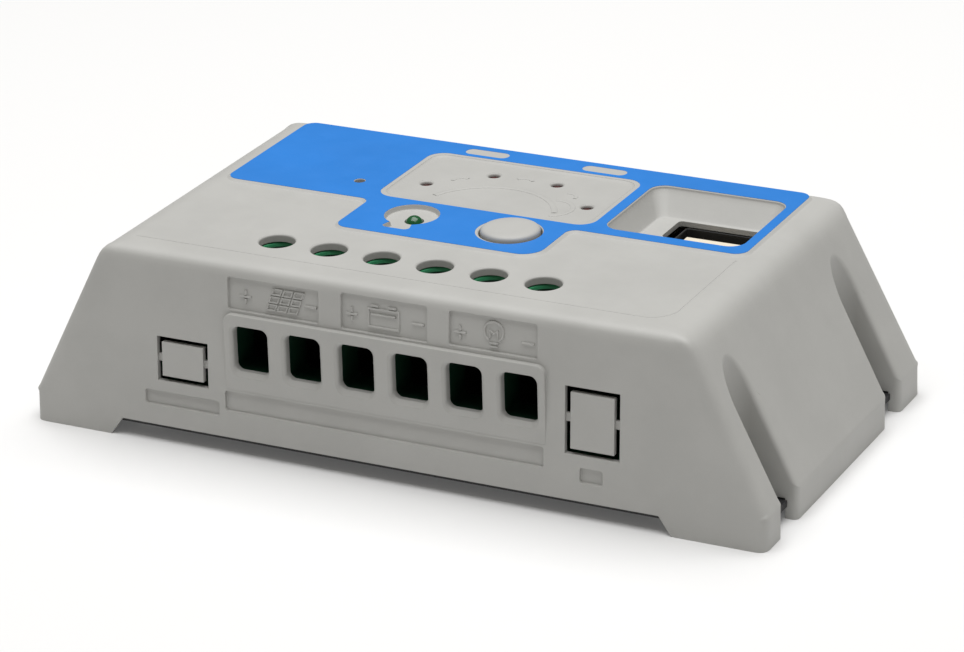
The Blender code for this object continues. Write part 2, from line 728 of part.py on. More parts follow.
def base_plate():
    top = PLATE_Z0 + PLATE_T
    plate = outline_solid(
        "base_plate", [rounded_rect(-PLATE_HALF_X, PLATE_HALF_X, -PLATE_HALF_Y, PLATE_HALF_Y,
                                    PLATE_CORNER_R)],
        PLATE_Z0, top, "black_steel")
    half = GROOVE_R - 0.3
    for x_sign, y in each_groove():
        inner, outer = sorted((x_sign * (PLATE_HALF_X - 4.0), x_sign * PLATE_TAB_X))
        unite(plate, box("tab", inner, outer, y - half, y + half, PLATE_Z0, top + PLATE_TAB_STEP))
    for x in (-PCB_SCREW_X, PCB_SCREW_X):
        for y in (-PCB_SCREW_Y, PCB_SCREW_Y):
            unite(plate, cylinder("standoff", x, y, PLATE_Z0 + 0.5, PCB_Z0 - SEAT_GAP, STANDOFF_R,
                                  sides=16))
            cut(plate, cylinder("standoff_bore", x, y, 4.0, PCB_Z0 + 1.0, STANDOFF_BORE_R, sides=12))
    for x in (-POST_X, POST_X):
        for y in (-POST_Y, POST_Y):
            cut(plate, cylinder("plate_hole", x, y, 0.0, 6.0, BASE_SCREW_R + 0.25, sides=12))
    for x_sign, y in each_groove():
        x = x_sign * SLOT_X
        reach = SLOT_LENGTH / 2
        slot = rounded_rect(x - reach, x + reach, y - SLOT_HALF_W, y + SLOT_HALF_W,
                            SLOT_HALF_W * 0.98, 4)
        cut(plate, outline_solid("mounting_slot", [slot], 0.0, 6.0))
    settled(plate)
    shade_smooth(plate)


def pan_head_screw(name, x, y, seat_z, head_r, head_h, shank_r, length, up):
    """Screw whose head is above its seat when up is 1, and below it when up is -1."""
    profile = [(0.0, seat_z + up * head_h), (head_r * 0.6, seat_z + up * head_h),
               (head_r, seat_z + up * head_h * 0.45), (head_r, seat_z), (shank_r, seat_z),
               (shank_r, seat_z - up * (length - 0.6)), (0.0, seat_z - up * length)]
    if up < 0:
        profile.reverse()
    screw = turned(name, profile, x, y, "plated_steel", sides=12)
    tip = seat_z + up * head_h
    low, high = sorted((tip - up * head_h * 0.55, tip + up))
    for reach_x, reach_y in ((head_r * 0.6, 0.35), (0.35, head_r * 0.6)):
        cut(screw, box(name + "_cross", x - reach_x, x + reach_x, y - reach_y, y + reach_y, low, high))
    return screw


def fasteners():
    corners = [(x, y) for y in (-1, 1) for x in (-1, 1)]
    for i, (sx, sy) in enumerate(corners, 1):
        pan_head_screw(f"base_screw_{i}", sx * POST_X, sy * POST_Y, PLATE_Z0 - 0.05, 2.7, 1.5,
                       BASE_SCREW_R, 12.0, -1)
        pan_head_screw(f"pcb_screw_{i}", sx * PCB_SCREW_X, sy * PCB_SCREW_Y, PCB_Z0 + PCB_T + 0.05,
                       2.5, 1.7, 1.3, 4.8, 1)


# Terminals

def terminal_block():
    left = pole_xs(POLE_X)[0] - PITCH / 2
    right = pole_xs(POLE_X)[-1] + PITCH / 2
    bottom = PCB_Z0 + PCB_T + 0.1
    block = box("terminal_block", left, right, BLOCK_Y0, BLOCK_Y1, bottom, BLOCK_TOP, "green_plastic")
    unite(block, box("mouth", left, right, MOUTH_Y0, BLOCK_Y0 + 4.0, bottom, MOUTH_TOP))
    for x in pole_xs(POLE_X):
        unite(block, cylinder("collar", x, SCREW_Y, BLOCK_TOP - 0.5, COLLAR_TOP, COLLAR_R, sides=24))
    for x in pole_xs(WINDOW_X):
        cut(block, box("wire_mouth", x - 3.3, x + 3.3, -35.0, -24.0, 14.3, 22.7))
    side_gap = 0.25
    for x in pole_xs(POLE_X):
        cut(block, box("cage_room", x - CAGE_HALF_X - side_gap, x + CAGE_HALF_X + side_gap,
                       CAGE_Y0 - 0.4, LEG_Y1 + 0.2, CAGE_Z0 - 0.3, HEAD_Z0 - 1.0))
        cut(block, cylinder("shank_hole", x, SCREW_Y, 20.0, 29.0, SCREW_R + 0.3))
        cut(block, cylinder("head_bore", x, SCREW_Y, HEAD_Z0 - 0.1, 35.0, HEAD_BORE_R))
        cut(block, box("leg_slot", x - LEG_HALF_X - 0.3, x + LEG_HALF_X + 0.3,
                       LEG_Y0 - 0.2, LEG_Y1 + 0.2, 5.0, 14.0))
    settled(block)
    shade_smooth(block)


def terminal_screw(index, x):
    """Slotted and cross-cut screw with a flat head and a plain shank."""
    name = f"terminal_screw_{index}"
    profile = [(0.0, HEAD_Z1), (HEAD_R - 0.35, HEAD_Z1), (HEAD_R, HEAD_Z1 - 0.35), (HEAD_R, HEAD_Z0),
               (SCREW_R, HEAD_Z0), (SCREW_R, SCREW_TIP + 0.5), (SCREW_R - 0.5, SCREW_TIP),
               (0.0, SCREW_TIP)]
    screw = turned(name, profile, x, SCREW_Y, "plated_steel", sides=16)
    half_slot = 0.45
    depth = 0.95
    cut(screw, box(name + "_slot", x - 2.9, x + 2.9, SCREW_Y - half_slot, SCREW_Y + half_slot,
                   HEAD_Z1 - depth, HEAD_Z1 + 1.0))
    cut(screw, box(name + "_cross", x - half_slot, x + half_slot, SCREW_Y - 1.7, SCREW_Y + 1.7,
                   HEAD_Z1 - depth - 0.1, HEAD_Z1 + 1.0))


def clamp_cage(index, x):
    """Square loop that the screw lifts, so that its floor presses the wire to the contact."""
    name = f"clamp_cage_{index}"
    cage = box(name, x - CAGE_HALF_X, x + CAGE_HALF_X, CAGE_Y0, CAGE_Y1, CAGE_Z0, CAGE_Z1,
               "plated_steel")
    cut(cage, box(name + "_opening", x - CAGE_HALF_X + 1.0, x + CAGE_HALF_X - 1.0, -30.0, -10.0,
                  CAGE_Z0 + 1.5, CAGE_Z1 - 1.5))
    cut(cage, cylinder(name + "_thread", x, SCREW_Y, 18.0, 25.0, SCREW_R + 0.15))
    put_origin(settled(cage), x, SCREW_Y)


def contact_bar(index, x):
    """Bent strip: a bar inside the cage and a leg that goes down through the board."""
    name = f"contact_bar_{index}"
    bar = box(name, x - 2.3, x + 2.3, CAGE_Y0 - 0.2, LEG_Y1, BAR_Z0, BAR_Z1, "tinned_copper")
    unite(bar, box(name + "_leg", x - LEG_HALF_X, x + LEG_HALF_X, LEG_Y0, LEG_Y1,
                   PCB_Z0 - 1.0, BAR_Z1 - 0.6))


# Board and what it carries

def pcb():
    top = PCB_Z0 + PCB_T
    board = box("pcb", -PCB_HALF_X, PCB_HALF_X, PCB_Y0, PCB_Y1, PCB_Z0, top, "green_board")
    clear = POST_R + 0.4
    for sx in (-1, 1):
        for sy in (-1, 1):
            xs = sorted((sx * (POST_X - clear), sx * 60.0))
            ys = sorted((sy * (POST_Y - clear), sy * 40.0))
            cut(board, box("corner", *xs, *ys, 0.0, 20.0))
            cut(board, cylinder("screw_hole", sx * PCB_SCREW_X, sy * PCB_SCREW_Y, 0.0, 20.0, 1.6,
                                sides=12))
    for x in pole_xs(POLE_X):
        cut(board, box("leg_hole", x - LEG_HALF_X - 0.3, x + LEG_HALF_X + 0.3,
                       LEG_Y0 - 0.2, LEG_Y1 + 0.2, 0.0, 20.0))
    settled(board)


def led(name, x, y, tip_z, colour):
    """3 mm LED on two long legs."""
    base_z = tip_z - 5.2
    profile = [(radius, tip_z - LED_R + height) for height, radius in arc(0.0, 0.0, LED_R, 0, 90, 5)]
    profile += [(LED_R, base_z + 1.0), (LED_RIM_R - 0.1, base_z + 1.0), (LED_RIM_R - 0.1, base_z),
                (0.0, base_z)]
    profile[0] = (0.0, tip_z)
    body = turned(name, profile, x, y, colour, sides=12)
    half = 0.25
    foot = PCB_Z0 + PCB_T + SEAT_GAP
    for leg_x in (x - LED_LEG_X, x + LED_LEG_X):
        unite(body, box(name + "_leg", leg_x - half, leg_x + half, y - half, y + half,
                        foot, base_z + 0.2))


def leds():
    for i, (x, y) in enumerate(led_places(), 1):
        led(f"led_red_{i}", x, y, LED_TIP, "red_lens")
    led("led_green", *GREEN_LED, PLATEAU_Z + 0.15, "green_lens")
    led("led_solar", *SOLAR_LED, TOP_Z - 1.2, "clear_lens")


def button():
    """Long-stemmed cap, and the small push switch that it works."""
    x, y = BUTTON
    rim_z0, rim_z1 = BUTTON_RIM
    cap_profile = [(0.0, BUTTON_TOP), (BUTTON_R - 0.9, BUTTON_TOP - 0.05),
                   (BUTTON_R - 0.25, BUTTON_TOP - 0.3), (BUTTON_R, BUTTON_TOP - 0.8),
                   (BUTTON_R, rim_z1), (BUTTON_R + 0.9, rim_z1), (BUTTON_R + 0.9, rim_z0),
                   (STEM_R, rim_z0), (STEM_R, STEM_Z0), (0.0, STEM_Z0)]
    turned("button_cap", cap_profile, x, y, "grey_plastic", sides=28)
    low, high = PLUNGER_Z
    turned("switch_plunger", [(0.0, high), (PLUNGER_R, high), (PLUNGER_R, low), (0.0, low)], x, y,
           "black_plastic", sides=12)
    body = box("switch_body", x - SWITCH_HALF, x + SWITCH_HALF, y - SWITCH_HALF, y + SWITCH_HALF,
               PCB_Z0 + PCB_T + SEAT_GAP, SWITCH_TOP, "black_plastic")
    cut(body, cylinder("plunger_bore", x, y, 9.4, 14.0, PLUNGER_R + 0.15, sides=16))


def usb_receptacle():
    """Upright USB socket: a square tube around an insulator with a tongue."""
    cx, cy = USB_CENTRE
    hx, hy = USB_HALF
    floor = PCB_Z0 + PCB_T + SEAT_GAP
    shell = box("usb_shell", cx - hx, cx + hx, cy - hy, cy + hy, floor, USB_TOP, "black_plastic")
    cut(shell, box("usb_inside", cx - hx + USB_WALL, cx + hx - USB_WALL, cy - hy + USB_WALL,
                   cy + hy - USB_WALL, 0.0, 40.0))
    inset = USB_WALL + 0.1
    body = box("usb_insulator", cx - hx + inset, cx + hx - inset, cy - hy + inset, cy + hy - inset,
               floor, INSULATOR_TOP, "cream_plastic")
    tongue_y = cy - hy + USB_WALL + 1.35
    unite(body, box("usb_tongue", cx - TONGUE_HALF_X, cx + TONGUE_HALF_X, tongue_y,
                    tongue_y + TONGUE_T, INSULATOR_TOP - 1.2, USB_TOP - 0.1))


def power_parts():
    """Power transistors under the board, and the pad between them and the base plate."""
    for i, x in enumerate(MOSFET_XS, 1):
        package = box(f"mosfet_{i}", x - 3.3, x + 3.3, 2.0, 8.2, MOSFET_Z0, PCB_Z0 - 0.2,
                      "black_plastic")
        unite(package, box("mosfet_tab", x - 2.7, x + 2.7, 8.0, 9.6, MOSFET_Z0, MOSFET_Z0 + 0.55))
    box("thermal_pad", -36.0, 36.0, 0.5, 11.0, PLATE_Z0 + PLATE_T + 0.1, PAD_TOP, "grey_pad")


def capacitor(name, x, y):
    """Upright can with a crimped groove near its foot."""
    bottom = PCB_Z0 + PCB_T + SEAT_GAP
    top = bottom + CAPACITOR_H
    crimp = CAPACITOR_R - 0.3
    profile = [(0.0, top), (CAPACITOR_R - 0.5, top), (CAPACITOR_R, top - 0.5),
               (CAPACITOR_R, bottom + 2.6), (crimp, bottom + 2.2), (crimp, bottom + 1.8),
               (CAPACITOR_R, bottom + 1.4), (CAPACITOR_R, bottom), (0.0, bottom)]
    turned(name, profile, x, y, "capacitor_sleeve", sides=16)


def inductor():
    """Drum core between two flanges."""
    bottom = PCB_Z0 + PCB_T + SEAT_GAP
    top = bottom + INDUCTOR_H
    flange = 1.4
    core = INDUCTOR_R - 1.0
    profile = [(0.0, top), (INDUCTOR_R, top), (INDUCTOR_R, top - flange), (core, top - flange),
               (core, bottom + flange), (INDUCTOR_R, bottom + flange), (INDUCTOR_R, bottom),
               (0.0, bottom)]
    turned("inductor", profile, *INDUCTOR, "copper_winding", sides=16)


def chips():
    bottom = PCB_Z0 + PCB_T + SEAT_GAP
    box("microcontroller", -30.0, -20.0, -10.0, 0.0, bottom, bottom + CHIP_H, "black_plastic")
    box("usb_regulator", 24.0, 29.0, 6.5, 10.5, bottom, bottom + CHIP_H, "black_plastic")


def build():
    top_cover()
    label_overlay()
    base_plate()
    fasteners()
    terminal_block()
    for i, x in enumerate(pole_xs(POLE_X), 1):
        terminal_screw(i, x)
        clamp_cage(i, x)
        contact_bar(i, x)
    pcb()
    leds()
    button()
    usb_receptacle()
    power_parts()
    for i, place in enumerate(CAPACITORS, 1):
        capacitor(f"capacitor_{i}", *place)
    inductor()
    chips()
    CUTTERS.hide_viewport = True


build()
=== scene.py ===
"""Looks of a solar charge controller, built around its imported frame.

The dimensions below are millimetres. +X points to the right along the case, +Y from the terminal
side to the back and +Z up, and the origin lies under the middle of the case.
"""
import math

import bmesh
import bpy
from mathutils import Matrix, Vector


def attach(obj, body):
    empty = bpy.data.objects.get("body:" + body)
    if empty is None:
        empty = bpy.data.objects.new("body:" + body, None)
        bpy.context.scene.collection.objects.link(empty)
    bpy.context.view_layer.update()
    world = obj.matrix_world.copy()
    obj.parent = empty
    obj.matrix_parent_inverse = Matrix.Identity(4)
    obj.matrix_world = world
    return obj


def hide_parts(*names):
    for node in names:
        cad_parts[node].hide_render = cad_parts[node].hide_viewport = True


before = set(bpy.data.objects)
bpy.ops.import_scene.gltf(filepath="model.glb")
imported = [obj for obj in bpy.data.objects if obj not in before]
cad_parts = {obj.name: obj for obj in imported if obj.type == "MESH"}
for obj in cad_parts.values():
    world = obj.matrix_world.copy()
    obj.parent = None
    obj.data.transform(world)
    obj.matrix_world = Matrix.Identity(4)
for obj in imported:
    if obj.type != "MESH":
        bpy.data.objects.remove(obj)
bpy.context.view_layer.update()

MM = 0.001

# Case
WIDTH = 130.1
DEPTH = 66.8
TOP_Z = 32.5
PLATEAU_Z = 32.85
SKIRT_H = 5.5
SIDE_LEAN = 0.5
FRONT_LEAN = 0.061
BACK_LEAN = 0.040
WALL = 2.0
TOP_WALL = 2.0
CAVITY_GAP = 0.1
CORNER_R = 2.8
TOP_SIDE_R = 4.9
TOP_FRONT_R = 3.4
TOP_BACK_R = 0.9
FOLD_R = 0.6
ROUNDING_PROFILE = 0.7
ROUNDING_STEPS = 8
NOTCH_Z = 3.05
NOTCH_X = -0.6
NOTCH_HALF_LOW = 50.0
NOTCH_HALF_HIGH = 47.8
NOTCH_FLARE = 0.7
BOARD_TOP = 9.05

# Fine line in the upper face: its back end, its round corner and its left end
CREASE_BACK = (46.0, 0.5)
CREASE_CORNER = (41.5, -21.6, 4.5)
CREASE_LEFT = (-49.0, -26.1)

# An edge with a smaller turn in degrees than this isn't rounded, and how near an edge has to lie
# to a height, a front or back face, the fold or a side to belong to it
LEAST_TURN = 9
AT_HEIGHT = 0.01
ON_FACE = 0.05
AT_FOLD = 0.1
ON_SIDE = 0.4

# Cutters: how far they reach past a face, their lower end under the upper wall, and sides of small
# round ones. A long outline's end radius is a share of its half width.
PAST = 2.0
UNDER_TOP = TOP_Z - 5.0
SMALL_SIDES = 32
ROUND_END = 0.98

# Grooves in the sides
GROOVE_YS = (-23.6, 20.8)
GROOVE_R = 3.1
GROOVE_X = 57.3
GROOVE_RIM_R = 1.6
GROOVE_WALL = 1.8

# Base plate
PLATE_TOP = 3.2
PLATE_GAP = 0.25
PLATE_HALF_X = 62.2
PLATE_HALF_Y = 32.3

# Screw terminals
POLES = 6
PITCH = 9.5
POLE_X = -1.2
HOLE_X = -1.8
WINDOW_X = -0.25
SCREW_Y = -19.5
WINDOW_W = 6.2
WINDOW_Z0 = 14.6
WINDOW_Z1 = 22.4
WINDOW_R = 1.2
WINDOW_RIM = 0.7
WINDOW_SILL = 0.8
DRIVER_HOLE_R = 2.95
DRIVER_RIM = 0.35
DRIVER_HOLE_WALL = 1.3
COLLAR_R = 4.2
COLLAR_TOP = 31.0
COLLAR_EDGE = 0.2
COLLAR_ROOM = 0.5
HEAD_BORE_R = 3.4
HEAD_BORE_RIM = 0.3
HEAD_LEDGE_Z = 28.4

# Band around the wire windows: x0 x1 z0 z1, its face, and how deep it goes into the case
BAND = (-28.7, 28.1, 11.5, 24.5)
BAND_Y = -32.75
BAND_ROOT = 2.5
BAND_CORNER_R = 1.6
BAND_EDGE_R = 0.2

# Room behind the band: past its left and right end, behind its face, floor, and below its top
MOUTH_LEFT = 1.3
MOUTH_RIGHT = 0.5
MOUTH_BEHIND = 1.65
MOUTH_FLOOR = 7.0
MOUTH_BELOW_TOP = 0.2

# Terminal block, with the rooms in it for each pole
BLOCK_TOP = 30.3
BLOCK_BOTTOM = 9.1
BLOCK_YS = (-29.2, -14.5)
LIP_YS = (-30.9, -25.2)
LIP_TOP = 23.9
ENTRY_HALF = 3.3
ENTRY_YS = (-35.0, -24.0)
ENTRY_ZS = (14.3, 22.7)
ENTRY_R = 0.7
CAGE_HALF = 3.85
CAGE_YS = (-25.4, -15.3)
CAGE_ZS = (12.4, 27.5)
LEG_HALF = 1.9
LEG_YS = (-16.5, -15.3)
LEG_ZS = (5.0, 14.0)
SHANK_HOLE_R = 2.25
SHANK_ZS = (20.0, 29.0)

# Terminal screw: (radius, z) of its head and tip, and (radius, depth) of one turn of its thread
SCREW_HEAD = ((0.0, 29.95), (2.2, 29.95), (2.45, 29.9), (2.63, 29.75), (2.7, 29.55), (2.7, 28.5),
              (1.95, 28.5))
SCREW_TIP = ((1.9, 21.1), (1.45, 20.7), (0.0, 20.7))
THREAD_TURN = ((1.95, 0.0), (1.62, 0.22), (1.62, 0.26), (1.95, 0.48))
THREAD_PITCH = 0.7
THREAD_START = 28.4
THREAD_END = 21.4
SLOT_HALF = 0.42
SLOT_REACH = 2.9
CROSS_REACH = 1.7

# Label
LABEL_T = 0.05
LABEL_X0 = -47.4
LABEL_X1 = 46.5
LABEL_Y0_LEFT = 2.15
LABEL_Y0_RIGHT = 2.3
LABEL_Y1 = 31.6
LABEL_R = 2.2
LABEL_BACK_R = 2.0
LABEL_INNER_R = 1.8
TAB_X0 = -20.0
TAB_X1 = 16.2
TAB_Y = -10.7
TAB_RIGHT_R = 3.6
LABEL_POCKET_GAP = 0.2
LABEL_POCKET_R = 2.7
LABEL_BUTTON_SHIFT = -0.2
LABEL_BUTTON_R = 5.55
PILLS = ((-11.5, 28.8), (10.3, 28.8))
PILL_HALF = (4.0, 1.25)

# Soft edge of the label's raised field: distance out from the label, and height above the face
PLATEAU_EDGE = ((0.62, -1.0), (0.6, 0.0), (0.48, 0.03), (0.15, 0.27), (0.05, 0.33), (-0.1, 0.35))

# Grey lamp field: x0 x1 y0 y1, and its soft edge as inset and share of the depth
PANEL = (-20.4, 18.8, 4.4, 26.6)
PANEL_R = 3.0
PANEL_DEPTH = 0.25
PANEL_EDGE = ((1.5, 1.0), (1.25, 0.93), (1.05, 0.7), (0.9, 0.4), (0.78, 0.12), (0.72, -4.0))

# Lamps: the body as (radius, depth under the tip) below its dome, and two legs
LED_ARC = (-0.35, 4.4)
LED_ARC_R = 17.0
LED_ANGLES = (150, 110, 70, 30)
LED_HOLE_R = 1.0
LED_HOLE_RIM = 0.4
LED_SEAT_R = 2.0
LED_SEAT_Z = 32.0
LED_TIP = 32.25
LED_DOME_R = 1.5
LED_FOOT = ((1.5, 4.2), (1.82, 4.2), (1.9, 4.28), (1.9, 5.12), (1.82, 5.2), (0.0, 5.2))
LED_LEG_X = 1.27
LED_LEG_HALF = 0.25
LED_LEG_START = 5.0
GREEN_LED = (-9.6, -2.25)
GREEN_HOLE_R = 1.6
GREEN_TIP = PLATEAU_Z + 0.15
SOLAR_LED = (-25.6, 9.1)
SOLAR_HOLE_R = 0.9
SOLAR_HOLE_RIM = 0.1
SOLAR_SEAT_Z = TOP_Z - 1.0
SOLAR_TIP = TOP_Z - 1.2

# Lamp-shaped dish around the green lamp
DISH = (-10.3, -1.6)
DISH_R = 4.5
DISH_DEPTH = 0.8
DISH_NECK_HALF = 1.9
DISH_BASE_HALF = 2.3
DISH_BASE_H = 1.9
DISH_BASE_R = 0.9

# Button cap: its crown as (radius, depth under its top), its flange and stem as (radius, z)
BUTTON = (7.9, -2.4)
BUTTON_HOLE_R = 5.2
BUTTON_HOLE_RIM = 0.25
BUTTON_TOP = 33.85
BUTTON_CROWN = ((0.0, 0.0), (1.5, 0.01), (3.0, 0.05), (3.9, 0.12), (4.35, 0.21), (4.62, 0.34),
                (4.8, 0.52), (4.88, 0.74), (4.9, 1.0))
BUTTON_STEM = ((4.9, 30.2), (5.8, 30.2), (5.8, 29.4), (2.2, 29.4), (2.2, 15.4), (0.0, 15.4))

# USB pocket: x0 x1 y0 y1 of its opening and floor, the steps of its wall and how soft its fold is
POCKET = (20.9, 44.6, 5.0, 26.2)
POCKET_FLOOR = (23.2, 43.4, 6.4, 22.3)
POCKET_DEPTH = 4.0
POCKET_FLOOR_T = 0.9
POCKET_R = 2.5
POCKET_FLOOR_R = 1.6
POCKET_R_GROWTH = 0.9
POCKET_RIM = 0.3
POCKET_RIM_STEPS = 4
POCKET_BELOW_RIM = 0.45
POCKET_STEPS = (-0.12, -0.06, -0.03, 0.0, 0.03, 0.06, 0.12, 0.25, 0.5, 0.8, 0.97)
POCKET_FOLD = 0.05
TUB_WALL = 1.4

# USB receptacle
USB_CUTOUT = (27.0, 42.6, 14.1, 21.8)
USB_CUTOUT_R = 0.8
USB_CUTOUT_Z0 = 20.0
USB_CENTRE = (34.8, 18.85)
USB_HALF = (6.6, 2.95)
USB_TOP = 27.85
USB_WALL = 0.35
USB_CORNER_R = 0.75
USB_EDGE = 0.08
USB_EDGE_H = 0.1
USB_GAP = 0.1
INSULATOR_TOP = 17.2
TONGUE_HALF = 5.55
TONGUE_T = 1.84
TONGUE_OFFSET = 1.35
TONGUE_Y = USB_CENTRE[1] - USB_HALF[1] + USB_WALL + TONGUE_OFFSET
TONGUE_ZS = (16.0, USB_TOP - 0.6)
CONTACT_XS = (-3.5, -1.0, 1.0, 3.5)
CONTACT_HALF = 0.5
CONTACT_ZS = (17.4, USB_TOP - 1.2)

# Knock-outs: opening x0 x1 z0 z1, margin to the plug, tab z0 z1
KNOCKOUTS = (
    (-41.4, -32.0, 10.8, 18.4, 0.9, 14.0, 15.3),
    (31.3, 40.6, 10.65, 21.8, 0.95, 15.8, 17.2),
)
KNOCKOUT_REACH = 6.0
KNOCKOUT_TAB_DEPTH = 0.5
KNOCKOUT_TAB_MARGIN = 0.5
KNOCKOUT_WALL = 0.9
KNOCKOUT_WALL_MARGIN = 0.6

# Shallow fields in the front face, x0 x1 z0 z1: for the signs, and plain strips below
ICON_FIELDS = ((-28.0, -11.7, 25.0, 30.4), (-7.6, 7.5, 24.9, 30.8), (11.4, 26.5, 25.2, 30.8))
STRIP_FIELDS = ((-28.9, 27.6, 7.6, 11.0), (-43.8, -30.1, 6.5, 8.9), (33.9, 37.7, 6.2, 8.6))
FIELD_DEPTH = 0.5
FIELD_R = 0.4
FIELD_RIM = 0.06
FIELD_RIM_R = 0.45

# Polarity signs: middles of the plus and minus signs
PLUS_SIGNS = ((-24.95, 27.4), (-5.85, 27.5), (13.15, 27.4))
MINUS_SIGNS = ((-13.2, 27.4), (5.8, 27.5), (24.8, 27.3))


# Meshes

def new_object(name, mesh):
    obj = bpy.data.objects.new(name, mesh)
    bpy.context.scene.collection.objects.link(obj)
    return obj


def object_from(name, bm):
    bmesh.ops.recalc_face_normals(bm, faces=bm.faces)
    mesh = bpy.data.meshes.new(name)
    bm.to_mesh(mesh)
    bm.free()
    return new_object(name, mesh)


def evaluated_mesh(obj):
    graph = bpy.context.evaluated_depsgraph_get()
    return bpy.data.meshes.new_from_object(obj.evaluated_get(graph))


def settled(obj):
    """Put an object's modifiers into its mesh."""
    mesh = evaluated_mesh(obj)
    obj.modifiers.clear()
    obj.data = mesh
    return obj


def combine(target, others, operation):
    """Add the other solids to the target, or cut them from it, and drop them."""
    for other in others:
        step = target.modifiers.new(operation.lower(), "BOOLEAN")
        step.operation = operation
        step.solver = "EXACT"
        step.object = other
    settled(target)
    for other in others:
        bpy.data.objects.remove(other, do_unlink=True)
    return target


def cut(target, *others):
    return combine(target, others, "DIFFERENCE")


def unite(target, *others):
    return combine(target, others, "UNION")


def merged(name, objects):
    """One object that holds the meshes of several."""
    bm = bmesh.new()
    for obj in objects:
        bm.from_mesh(obj.data)
        bpy.data.objects.remove(obj, do_unlink=True)
    return object_from(name, bm)


def smooth(obj, angle=30.0):
    """Smooth shading that keeps flat faces flat and edges above the angle sharp."""
    obj.data.shade_smooth()
    obj.data.set_sharp_from_angle(angle=math.radians(angle))
    weighted = obj.modifiers.new("normals", "WEIGHTED_NORMAL")
    weighted.keep_sharp = True
    weighted.weight = 80
    return obj


def soften(obj, width, segments=2, angle=40.0):
    """Small rounding of an object's edges."""
    rounding = obj.modifiers.new("edges", "BEVEL")
    rounding.width = width * MM
    rounding.segments = segments
    rounding.limit_method = "ANGLE"
    rounding.angle_limit = math.radians(angle)
    rounding.use_clamp_overlap = True
    rounding.harden_normals = False
    return obj


def box(name, x0, x1, y0, y1, z0, z1):
    bm = bmesh.new()
    bmesh.ops.create_cube(bm, size=1.0)
    bmesh.ops.scale(bm, vec=Vector((x1 - x0, y1 - y0, z1 - z0)) * MM, verts=bm.verts)
    bmesh.ops.translate(bm, vec=Vector((x0 + x1, y0 + y1, z0 + z1)) * MM / 2, verts=bm.verts)
    return object_from(name, bm)


def cylinder(name, x, y, z0, z1, radius, sides=48):
    bm = bmesh.new()
    bmesh.ops.create_cone(bm, cap_ends=True, segments=sides, radius1=radius * MM,
                          radius2=radius * MM, depth=(z1 - z0) * MM)
    bmesh.ops.translate(bm, vec=Vector((x, y, (z0 + z1) / 2)) * MM, verts=bm.verts)
    return object_from(name, bm)


def turned(name, profile, x, y, sides=48):
    """Turn a profile of (radius, z) points, listed down the outer side, about an upright axis."""
    mesh = bpy.data.meshes.new(name)
    points = [(r * MM, 0.0, z * MM) for r, z in profile]
    mesh.from_pydata(points, [(i, i + 1) for i in range(len(profile) - 1)], [])
    obj = new_object(name, mesh)
    screw = obj.modifiers.new("turn", "SCREW")
    screw.steps = sides
    screw.render_steps = sides
    screw.use_merge_vertices = True
    screw.merge_threshold = 0.00001
    settled(obj)
    bm = bmesh.new()
    bm.from_mesh(obj.data)
    bmesh.ops.translate(bm, vec=Vector((x, y, 0.0)) * MM, verts=bm.verts)
    bmesh.ops.recalc_face_normals(bm, faces=bm.faces)
    bm.to_mesh(obj.data)
    bm.free()
    return obj


def arc(cx, cy, radius, start, end, steps):
    points = []
    for i in range(steps + 1):
        angle = math.radians(start + (end - start) * i / steps)
        points.append((cx + radius * math.cos(angle), cy + radius * math.sin(angle)))
    return points


def circle(cx, cy, radius, sides):
    return arc(cx, cy, radius, 0, 360 - 360 / sides, sides - 1)


def rounded_rect(x0, x1, y0, y1, radius, steps=8):
    points = arc(x1 - radius, y0 + radius, radius, -90, 0, steps)
    points += arc(x1 - radius, y1 - radius, radius, 0, 90, steps)
    points += arc(x0 + radius, y1 - radius, radius, 90, 180, steps)
    points += arc(x0 + radius, y0 + radius, radius, 180, 270, steps)
    return points


def outline_solid(name, loops, low, high, plane="XY"):
    """Extrude a flat outline with holes: from z=low to high, or from y=low to high for plane XZ."""
    curve = bpy.data.curves.new(name, "CURVE")
    curve.dimensions = "2D"
    curve.fill_mode = "BOTH"
    curve.extrude = (high - low) * MM / 2
    for loop in loops:
        spline = curve.splines.new("POLY")
        spline.points.add(len(loop) - 1)
        for point, (a, b) in zip(spline.points, loop):
            point.co = (a * MM, b * MM, 0.0, 1.0)
        spline.use_cyclic_u = True
    source = new_object(name + "_outline", curve)
    bpy.context.view_layer.update()
    mesh = evaluated_mesh(source)
    bpy.data.objects.remove(source, do_unlink=True)
    bm = bmesh.new()
    bm.from_mesh(mesh)
    bmesh.ops.remove_doubles(bm, verts=bm.verts, dist=0.000001)
    bmesh.ops.dissolve_limit(bm, angle_limit=math.radians(0.1), verts=bm.verts, edges=bm.edges)
    middle = (low + high) * MM / 2
    if plane == "XZ":
        place = Matrix.Translation((0.0, middle, 0.0)) @ Matrix.Rotation(math.pi / 2, 4, "X")
    else:
        place = Matrix.Translation((0.0, 0.0, middle))
    bmesh.ops.transform(bm, matrix=place, verts=bm.verts)
    return object_from(name, bm)


def loft(name, sections):
    """Join sections of equally many (x, y, z) points, and close both ends."""
    bm = bmesh.new()
    rings = [[bm.verts.new(Vector(p) * MM) for p in section] for section in sections]
    count = len(rings[0])
    for lower, upper in zip(rings, rings[1:]):
        for i in range(count):
            j = (i + 1) % count
            bm.faces.new((lower[i], lower[j], upper[j], upper[i]))
    bm.faces.new(reversed(rings[0]))
    bm.faces.new(rings[-1])
    return object_from(name, bm)


def at_height(points, z):
    return [(x, y, z) for x, y in points]


def at_depth(points, y):
    return [(x, y, z) for x, z in points]


def flare(rim, steps=5, first=14.0):
    """How far a rounded rim stands out, and how deep, from its face to its wall."""
    pairs = []
    for i in range(steps + 1):
        angle = math.radians(first + (90.0 - first) * i / steps)
        pairs.append((rim * (1 - math.sin(angle)), rim * (1 - math.cos(angle))))
    return pairs


